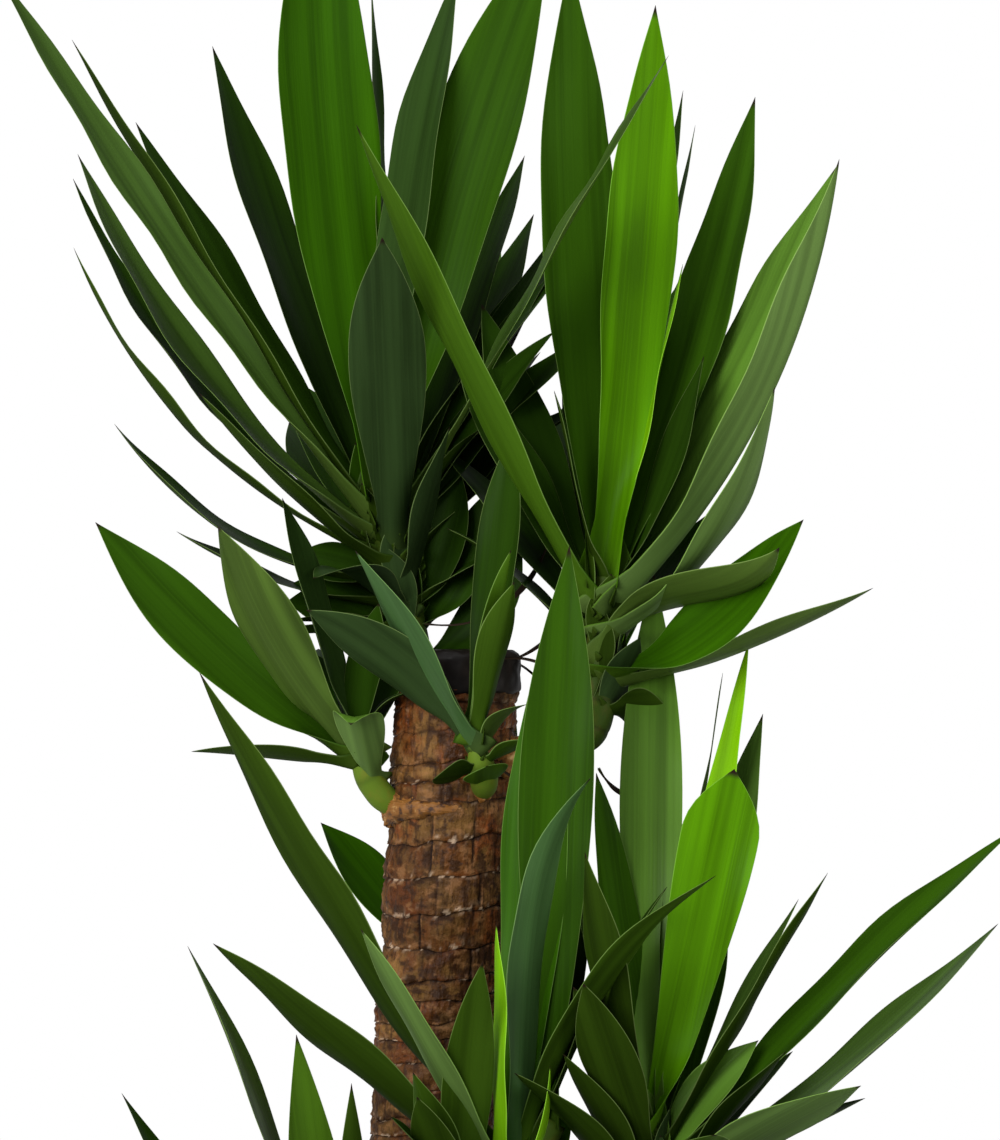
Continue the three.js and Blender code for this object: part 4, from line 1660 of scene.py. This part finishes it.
# Heads: name, cane, radius of the stem, the stem's foot, knee, low and high, leaves in view by tint, rows
# of fill, and smaller leaves between them
HEADS = (
    LeafHead(
        "head_left",
        "tall",
        13,
        ((-18, 48, 972), (-28, 74, 1000), (-38, 70, 1056), (-53, 58, 1136)),
        {
            Tint.DEEP: [
                Leaf(-32, 4, 326, 25, -4, -12),
                Leaf(-40, -10, 282, 25, -22, 10),
                Leaf(-46, 30, 164, 34, -6, 16),
                Leaf(-45, 0, 247, 25, -26, -10),
                Leaf(-59.5, 5, 178, 34, -20, 12),
                Leaf(-20, -25, 338, 50, -8, -22),
                Leaf(-2, -20, 330, 34, -6, -75),
                Leaf(18, -30, 275, 42, 4, -25),
                Leaf(21, -38, 275, 40, 4, -20),
                Leaf(33, -35, 178, 36, 4, -20),
                Leaf(40, -30, 136, 34, 4),
                Leaf(-71, 8, 128, 32, -8, 6),
                Leaf(-92, 14, 82, 30),
                Leaf(-31, -14, 288, 44, -6, 5),
            ],
            Tint.MID: [Leaf(15, -10, 355, 52, 12, 40)],
            Tint.FRESH: [Leaf(-6, -9, 380, 64, -20)],
            Tint.GREY: [
                Leaf(-34, 10, 385, 30, -8, 50, fold=0.2),
                Leaf(-38, -4, 282, 34, -20, 16),
                Leaf(29.5, 22, 324, 36, 4, 40),
            ],
            Tint.SHADE: [
                Leaf(7.5, -12, 318, 40, 18, -15),
                Leaf(-60, 50, 84, 40, 16, rise=-12),
                Leaf(-1, 45, 240, 42, 8),
                Leaf(14, 30, 120, 28, 4, 40, -40),
            ],
        },
        [
            FillRow(9, (-16, 22), (-34, -84), (300, 220), BACK_WIDTH),
            FillRow(5, (-38, -22), (-48, -78), (230, 190), (44, 38)),
        ],
        {
            Tint.DEEP: [
                Leaf(27, -30, 236, 40, 6, -16),
                Leaf(29, -24, 264, 42, 6, -10),
                Leaf(24, -2, 98, 34, 4, rise=-6),
                Leaf(33, 4, 88, 32, 6, rise=-10),
                Leaf(31, -18, 205, 38, 8, -10),
                Leaf(41, -12, 176, 36, 10, 8),
                Leaf(48, -20, 156, 38, 8),
                Leaf(36, -6, 150, 34, 6, 20),
                Leaf(62, 2, 92, 30, 10, 10, -14),
                Leaf(28, 0, 100, 30, -6, 70, -62),
                Leaf(40, 0, 88, 28, -8, 70, -66),
                Leaf(16, 0, 96, 30, -4, 70, -66),
                Leaf(50, 0, 62, 24, -6, 60, -58),
                Leaf(-70, 0, 62, 26, 4, 60, -10),
                Leaf(-80, 0, 62, 28, 2, 60),
                Leaf(-75, 0, 55, 26, 2, 60, 18),
                Leaf(-78, 24, 74, 30, 6, -8, -16),
            ],
            Tint.DRY: [
                Leaf(74, 6, 88, 4, -16, 20, -26),
                Leaf(96, 14, 74, 4, 22, rise=-34),
                Leaf(58, 20, 96, 4, -20, 40, -20),
            ],
        },
        heart=0,
        seed=2,
    ),
    LeafHead(
        "head_right",
        "tall",
        12,
        ((12, 26, 984), (48, 18, 996), (66, 16, 1010), (72, 18, 1086)),
        {
            Tint.DEEP: [
                Leaf(9, -22, 325, 24, 0, -40),
                Leaf(11, -28, 330, 16, 0, -60),
                Leaf(86, 10, 36, 34, 0, -45),
                Leaf(-13, 10, 120, 34, 0, 40),
            ],
            Tint.MID: [
                Leaf(-3, -9, 355, 45, -15),
                Leaf(16, -35, 310, 42),
                Leaf(16.5, -15, 312, 44, -9),
            ],
            Tint.FRESH: [
                Leaf(-26, 18, 312, 32, -5),
                Leaf(50, 25, 152, 42, -12, 65, -10),
            ],
            Tint.GREY: [
                Leaf(53, 35, 140, 38, 10, -20, curl=10),
                Leaf(69, 12, 158, 36, -6, -11),
            ],
            Tint.LIME: [Leaf(5, -8, 330, 42, -4, 50)],
            Tint.YOUNG: [Leaf(13, -10, 195, 14, 0, -20)],
            Tint.PALE: [
                Leaf(27, -8, 286, 56, -6, 20),
                Leaf(26.5, 10, 283, 46, -26, -4, fold=0.3),
                Leaf(33, 25, 180, 38, -22, 8),
                Leaf(26, -25, 196, 30, -6, 15),
            ],
        },
        [FillRow(10, (-8, 30), (-32, -84), (300, 220), BACK_WIDTH)],
        {
            Tint.DEEP: [
                Leaf(-20, -22, 205, 38, -4, 8),
                Leaf(-28, -14, 172, 36, 2, 14),
                Leaf(-38, -20, 150, 36, 4, 6),
                Leaf(21, -4, 150, 38, -6, 10),
                Leaf(31, -4, 170, 34, -6),
                Leaf(-46, -6, 112, 32, 8, rise=-10),
                Leaf(40, -34, 140, 38, 0, -6),
            ],
            Tint.DRY: [
                Leaf(-64, 14, 72, 4, 18, rise=-22),
                Leaf(-84, 20, 58, 3.5, -14, 20, -26),
                Leaf(112, 30, 44, 3, -8, rise=-30),
            ],
        },
        heart=0,
        seed=3,
    ),
    LeafHead(
        "shoot_left",
        "tall",
        8,
        ((-30, 24, 954), (-47, 18, 962), (-56, 16, 972), (-66, 12, 990)),
        {
            Tint.DEEP: [Leaf(-84, 10, 92, 30, 2, -15, 10), Leaf(38, 12, 54, 14, 14, 10)],
            Tint.SHADE: [Leaf(-16, -3, 148, 42, 0, 8)],
            Tint.MID: [Leaf(-47, 0, 198, 36, -6, 70)],
            Tint.GREY: [Leaf(-30, 15, 155, 38, -10, -35, fold=0.45)],
            Tint.PALE: [Leaf(-12, 42, 66, 28, rise=-12, fold=0.2, bend=100, full=0.6)],
        },
        [FillRow(3, (-45, -20), (-30, -60), (150, 110), (40, 34))],
        {Tint.DEEP: [Leaf(8, -6, 84, 30, 2, 10), Leaf(22, -18, 66, 26, 4)]},
        heart=0,
        ledge=48,
        bases=0,
        seed=4,
    ),
    LeafHead(
        "shoot_front",
        "tall",
        8,
        ((2, 14, 966), (5, -2, 972), (4, -11, 980), (0, -18, 996)),
        {
            Tint.DEEP: [Leaf(-100, 30, 28, 28, 0, -30), Leaf(6.5, -10, 176, 28)],
            Tint.MID: [Leaf(12.5, 12, 94, 26, fold=0.3), Leaf(60, 30, 32, 20)],
            Tint.FRESH: [Leaf(10, 5, 108, 24, fold=0.3)],
            Tint.SHADE: [Leaf(-48, 16, 126, 40, 10, -30)],
            Tint.TEAL: [Leaf(-30, 20, 135, 27)],
        },
        [],
        {Tint.GREY: [Leaf(40, 20, 40, 22, 6)]},
        heart=0,
        callus=0.6,
        bases=1,
        seed=5,
    ),
    LeafHead(
        "shoot_back",
        "tall",
        8,
        ((-16, 46, 838), (-15, 66, 846), (-14, 72, 858), (-18, 78, 872)),
        {Tint.FRESH: [Leaf(-40, -8, 108, 38, 0, 30)]},
        [FillRow(6, (-6, 25), (-20, -75), (190, 120), (42, 34))],
        {},
        heart=2,
        bases=4,
        seed=6,
    ),
    LeafHead(
        "head_middle_left",
        "middle",
        12,
        ((38, -64, 664), (8, -76, 684), (-8, -78, 712), (42, -70, 796)),
        {
            Tint.DEEP: [
                Leaf(-31, 10, 322, 35, -6, -20),
                Leaf(-49, 12, 208, 40, 0, -22, 16),
                Leaf(-41, 35, 97, 30, 0, 30),
            ],
            Tint.MID: [
                Leaf(2, -3, 310, 40, 4, 30),
                Leaf(4, 22, 188, 27, 15, rise=-72),
                Leaf(31, 20, 212, 32, 24),
            ],
            Tint.FRESH: [Leaf(3.5, -6, 300, 40, rise=-30)],
            Tint.PALE: [Leaf(-28, 25, 180, 22)],
            Tint.YOUNG: [Leaf(0, 15, 165, 24, -5, -70, -42), Leaf(18, 20, 95, 17, -12, 40, -30)],
            Tint.TEAL: [Leaf(11, 15, 242, 24, 20, 5, -30, curl=-10)],
        },
        [
            FillRow(5, (-80, -135), (10, 70), (250, 200), SIDE_WIDTH),
            FillRow(5, (-60, 100), (70, 88), (230, 190), SIDE_WIDTH),
        ],
        {
            Tint.DEEP: [
                Leaf(26, 2, 168, 34, 6),
                Leaf(10, -24, 190, 36, 4),
                Leaf(-16, 36, 120, 32, 4, 10, -40),
                Leaf(-58, 26, 120, 34, 6, -6, -8),
            ],
            Tint.MID: [Leaf(-12, 28, 132, 30, 10, 20, -60)],
        },
        seed=7,
    ),
    LeafHead(
        "head_middle_right",
        "middle",
        12,
        ((62, -61, 674), (84, -65, 694), (92, -66, 730), (94, -64, 792)),
        {
            Tint.DEEP: [
                Leaf(9.5, -25, 290, 24, 0, -70),
                Leaf(-18, 30, 130, 34),
                Leaf(30, 5, 184, 24, 0, -12),
                Leaf(46, -20, 112, 34),
                Leaf(-24, -15, 120, 36),
            ],
            Tint.MID: [
                Leaf(45, 0, 272, 42, 5, 20, fold=0.1),
                Leaf(-8, -8, 200, 30),
            ],
            Tint.LIME: [Leaf(12.5, -3, 205, 42, 0, 80, full=0.8)],
            Tint.YOUNG: [Leaf(11.5, -15, 288, 17, 0, 15)],
            Tint.PALE: [Leaf(55, 30, 148, 52, 4, -12), Leaf(1, -20, 330, 34, 20)],
            Tint.GREY: [
                Leaf(50.5, 8, 235, 46, -10, 20),
                Leaf(15, -18, 256, 32),
                Leaf(29, -10, 165, 15, 0, 5),
            ],
        },
        [
            FillRow(7, (-2, 5), (-32, -84), (290, 220), SIDE_WIDTH),
            FillRow(6, (82, 128), (-65, 55), (250, 200), SIDE_WIDTH),
            FillRow(3, (-40, 60), (66, 86), (230, 190), SIDE_WIDTH),
        ],
        {
            Tint.DEEP: [
                Leaf(-12, 12, 168, 32, -4, 8),
                Leaf(-15, -4, 150, 34, -4),
                Leaf(-20, 22, 124, 36, 4, rise=-8),
                Leaf(-42, 24, 112, 36, 4, rise=-8),
                Leaf(38, 14, 116, 34, 2, rise=-16),
                Leaf(62, -6, 128, 38, 2),
                Leaf(-26, 18, 104, 32, 4, rise=-24),
            ],
            Tint.MID: [
                Leaf(-34, 34, 84, 30, 6, rise=-40),
                Leaf(40, 38, 92, 32, 6, rise=-40),
                Leaf(14, -40, 220, 38),
            ],
            Tint.PALE: [Leaf(37, 0, 92, 24, 6, 60)],
        },
        seed=8,
    ),
    LeafHead(
        "head_low",
        "low",
        12,
        ((-32, -54, 524), (-54, -54, 536), (-64, -54, 552), (-64, -54, 608)),
        {
            Tint.DEEP: [Leaf(-29, 0, 252, 36, 0, 20), Leaf(0, 15, 230, 20)],
            Tint.GREY: [Leaf(-16.5, 4, 306, 40, 12, 20)],
            Tint.FRESH: [Leaf(-7, 6, 244, 30, 0, -40)],
        },
        [
            FillRow(10, (-80, 80), (-25, -84), (240, 200), LOW_WIDTH),
            FillRow(10, (-85, 70), (22, 84), (240, 200), LOW_WIDTH),
            FillRow(6, (-70, -130), (-25, 30), (240, 200), LOW_WIDTH),
        ],
        {
            Tint.DEEP: [
                Leaf(-40, 10, 190, 40, 4, 10),
                Leaf(-54, -10, 196, 42, 2, -8),
                Leaf(14, -28, 178, 40, 4),
            ],
            Tint.MID: [
                Leaf(-24, 30, 172, 40, 6),
                Leaf(-8, -20, 204, 42, 0, 10),
                Leaf(-66, 14, 176, 40, 4),
            ],
        },
        seed=9,
    ),
)


@dataclass
class Crown:
    """All heads together, so that no fill leaf grows into a cane or another head."""

    heads: tuple[LeafHead, ...]
    canes: tuple[Cane, ...]
    apart: float = 5.0

    def near_cane(self, middle: Array, reach: Array) -> bool:
        """True if a leaf with this room would touch a cane."""
        clear = reach + self.apart * MM
        for cane in self.canes:
            share = np.clip(cane.share_at(middle[:, 2]), 0.0, 1.0)
            away = np.hypot(*(middle - cane.middle(share))[:, :2].T)
            beside = middle[:, 2] <= cane.top[2] * MM + clear
            if np.any(beside & (away < cane.radius(share) + clear)):
                return True
        return False

    def near_leaf(self, middle: Array, reach: Array, others: list[tuple[Array, Array]]) -> bool:
        """True if a leaf with this room would touch one of the others."""
        for there, wide in others:
            away = np.linalg.norm(middle[:, None] - there[None], axis=-1)
            if np.any(away < reach[:, None] + wide[None] + self.apart * MM):
                return True
        return False

    def grow(self) -> None:
        """Add each fill leaf that has room, head by head."""
        rooms = [[head.room(leaf) for leaf in head.grown] for head in self.heads]
        for place, head in enumerate(self.heads):
            others = [room for other, kept in enumerate(rooms) if other != place for room in kept]
            for row in head.fill:
                for index in range(row.count):
                    leaf = row.leaf(index)
                    room = head.room(leaf)
                    if not self.near_cane(*room) and not self.near_leaf(*room, others):
                        head.grown.append(leaf)
                        rooms[place].append(room)

    def build(self) -> None:
        """Leaves, stems and calluses of every head."""
        palette = {finish.tint: finish.materials() for finish in LEAF_FINISHES}
        stem = StemFinish().material()
        young = StemFinish(
            "young_stem", (0.20, 0.15, 0.020), (0.115, 0.190, 0.016), (0.070, 0.125, 0.012)
        ).material()
        callus = CallusFinish().material()
        canes = {cane.name: cane for cane in self.canes}
        for head in self.heads:
            head.build_leaves(palette)
            head.build_stem(young if head.young else stem)
            head.build_callus(canes[head.cane], callus)


def main() -> None:
    """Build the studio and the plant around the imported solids."""
    logging.basicConfig(level=logging.INFO, format="%(name)s %(message)s")
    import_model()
    Studio().build()
    crown = Crown(HEADS, CANES)
    crown.grow()
    crown.build()
    bark, wax = BarkFinish().material(), WaxFinish().material()
    for cane in CANES:
        cane.build(bark)
        cane.build_seal(wax)
    Pot().build(ClayFinish().material())
    soil = PottingMix()
    earth = EarthFinish("soil", (0.012, 0.008, 0.005), (0.050, 0.032, 0.019))
    chips = EarthFinish("bark_chips", (0.045, 0.020, 0.010), (0.140, 0.070, 0.035), 140.0)
    grit = EarthFinish("grit", (0.50, 0.48, 0.44), (0.72, 0.70, 0.66), 320.0)
    soil.build(earth.material())
    soil.build_crumbs([earth.material(), chips.material(), grit.material()], list(CANES))


if __name__ == "__main__":
    main()
